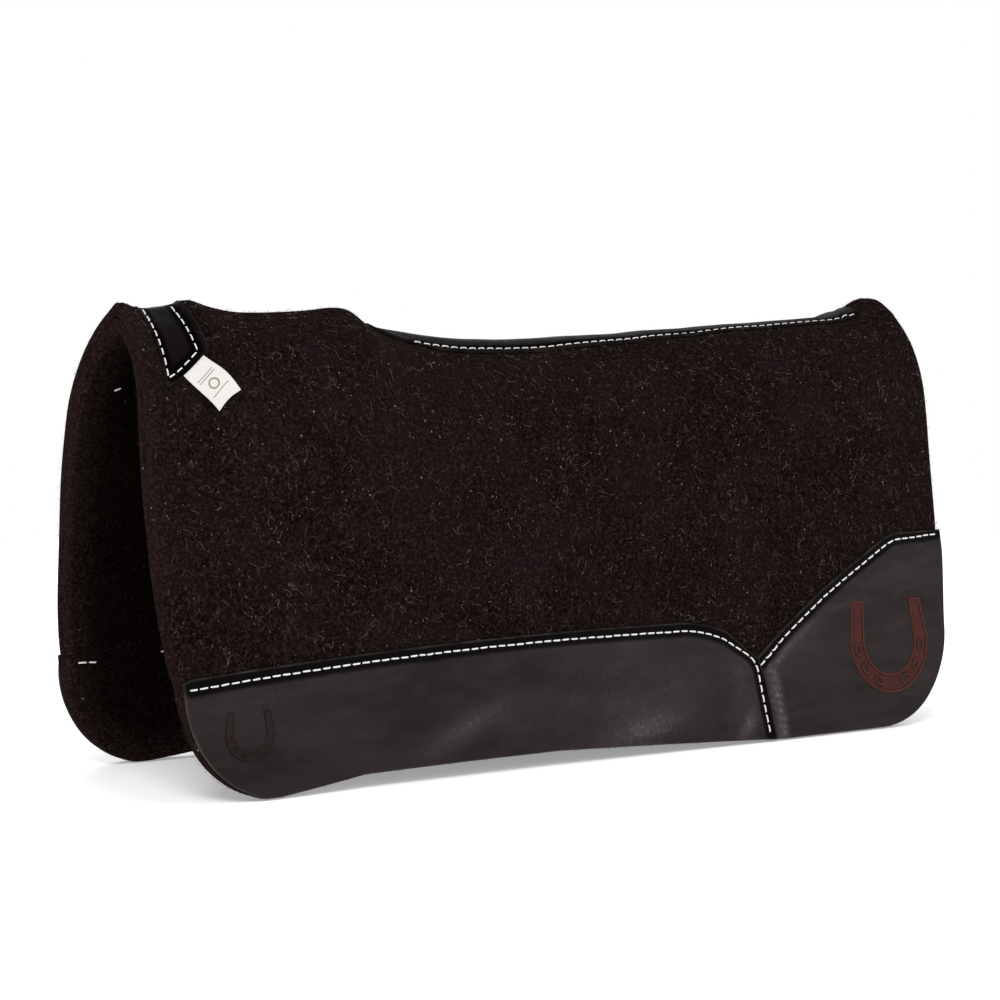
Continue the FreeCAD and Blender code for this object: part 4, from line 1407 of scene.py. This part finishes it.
def scatter(loop, skip, count, draw):
    """Random surface places inside a loop and outside the loops to skip."""
    low, high = loop.min(axis=0), loop.max(axis=0)
    flat = draw.uniform(low, high, (int(count * 1.6), 2))
    flat = flat[inside(flat, loop)]
    for other in skip:
        flat = flat[~inside(flat, other)]
    return flat[:count]


def fibres(name, paths, normal, width, look):
    """Tapered three-sided hairs, kept above the floor."""
    paths[..., 2] = np.maximum(paths[..., 2], LOWEST_FIBRE)
    normals = np.broadcast_to(normal[:, None], paths.shape)
    return tubes(name, paths, normals, width[:, None] * FIBRE_TAPER, 3, look)


def wool(name, side_name, side, flat, top, facing, seed, look, radius, shortest, longest):
    """Loose curly fibres lying on a felt face; facing is 1 on its outside and -1 inside the pad."""
    draw = np.random.default_rng(seed)
    base = placed(flat, top(flat, deep(flat)) + facing * 0.03 * MM, side)
    normal = facing * outward(flat[:, 0], flat[:, 1], side)
    length = shortest + (longest - shortest) * draw.beta(1.2, 3.0, len(flat))
    length = np.minimum(length, 0.5 * MM + to_segments(flat, outer_loop(), loop=True))
    rise = draw.exponential(0.18 * MM, len(flat)) + 0.06 * MM
    paths = curled(base, normal, length, draw, rise)
    width = radius * draw.uniform(0.6, 1.5, len(flat))
    piece = fibres(name + side_name, paths, normal, width, look)
    bend(piece, side_name, side, "outer_felt" if facing > 0 else "inner_felt")


def edge_wool(side_name, side, seed):
    """Fuzz on the cut edges of both felt layers."""
    draw = np.random.default_rng(seed)
    edge = outer_loop()
    edge = edge[(edge[:, 1] > 0.002)]
    at = draw.integers(1, len(edge) - 1, EDGE_FIBRES)
    way = edge[(at + 1) % len(edge)] - edge[at - 1]
    flat = edge[at] + way * draw.uniform(-0.5, 0.5, len(at))[:, None]
    lift = draw.uniform(-FELT + 0.002, -0.001, len(at))
    base = placed(flat, lift, side)
    raised = base[:, 2] > 0.004
    flat, way, lift, base = flat[raised], way[raised], lift[raised], base[raised]
    step = 0.5 * MM
    out = -sideways(way)
    out *= np.where(inside(flat + out * step, outer_loop()), -1, 1)[:, None]
    beyond = flat + out * step
    normal = unit(placed(beyond, lift, side) - base)
    length = draw.uniform(1.0, 3.6, len(flat)) * MM
    rise = draw.exponential(0.25 * MM, len(flat)) + 0.05 * MM
    paths = curled(base, normal, length, draw, rise)
    width = 0.07 * MM * draw.uniform(0.6, 1.4, len(flat))
    piece = fibres("edge_wool_" + side_name, paths, normal, width, DARK_WOOL_LOOK)
    bend(piece, side_name, side, "outer_felt")


def loose_wool(side_name, side):
    strip = np.array([(STRIP_START, 0), (STRIP_START, STRIP_HALF), (STRIP_END, STRIP_HALF), (STRIP_END, 0)])
    covered = [front_leather_loop(), rear_leather_loop(), BAND_CORNERS, strip]
    loop = outer_loop()
    draw = np.random.default_rng(70 + side)
    # name, count, seed, look, radius, shortest and longest
    kinds = (("pale_wool_", 1900, 73, PALE_WOOL_LOOK, 0.10 * MM, 2.5 * MM, 17 * MM),
             ("wool_specks_", 1100, 88, SPECK_LOOK, 0.15 * MM, 0.6 * MM, 3.5 * MM),
             ("brown_wool_", 5200, 76, DARK_WOOL_LOOK, 0.09 * MM, 2.5 * MM, 11 * MM))
    for name, count, seed, look, *size in kinds:
        flat = scatter(loop, covered, count, draw)
        wool(name, side_name, side, flat, felt_top, 1, seed + side, look, *size)
    flat = scatter(loop, [], INNER_FIBRES, draw)
    flat = flat[flat[:, 1] > CROWN_FREE]
    wool("inner_wool_", side_name, side, flat, back_of_felt, -1, 79 + side, DARK_WOOL_LOOK,
         0.09 * MM, 2.5 * MM, 13 * MM)
    edge_wool(side_name, side, 82 + side)


# ---- the looks ----
FELT_LOOK = felt_material("felt")
SHADED_INNER_FELT_LOOK = felt_material("inner_felt", shade=0.42)
LEATHER_LOOK = leather_material("wear_leather")
SPINE_LEATHER_LOOK = leather_material("spine_leather", dark=(0.0034, 0.0024, 0.0026),
                                      pale=(0.0062, 0.0045, 0.0050), gloss=0.50,
                                      rim=(0.022, 0.018, 0.016), specular=0.015)
THREAD_LOOK = thread_material("thread")
INLAY_LOOK = inlay_material("inlay")
EMBOSSED_LOOK = leather_material("embossed_leather", dark=(0.0085, 0.0050, 0.0048),
                                 pale=(0.0140, 0.0092, 0.0090), gloss=0.45,
                                 rim=(0.0080, 0.0012, 0.0010), rim_strength=1.0)
LABEL_LOOK = label_material("label")
PALE_WOOL_LOOK = fibre_material("pale_wool", (0.160, 0.128, 0.119))
SPECK_LOOK = fibre_material("wool_speck", (0.36, 0.315, 0.29))
DARK_WOOL_LOOK = fibre_material("brown_wool", (0.038, 0.0265, 0.0245))

studio()
for name, side in SIDES.items():
    felt_layers(name, side)
    wear_leathers(name, side)
    leather_stitching(name, side)
    wither_band(name, side)
    spine_stitching(name, side)
    band_stitching(name, side)
    emblem("rear_emblem_piece_", "rear_emblem_" + name, name, side, rear_top, INLAY_LOOK,
           0.85 * MM, 0.30 * MM, 0.8 * MM)
    emblem("front_emblem_piece_", "front_emblem_" + name, name, side, front_top, EMBOSSED_LOOK,
           0.35 * MM, 0.05 * MM, 0.5 * MM)
    loose_wool(name, side)
spine_strip()
spine_joint_thread()
woven_tag()
tag_thread()
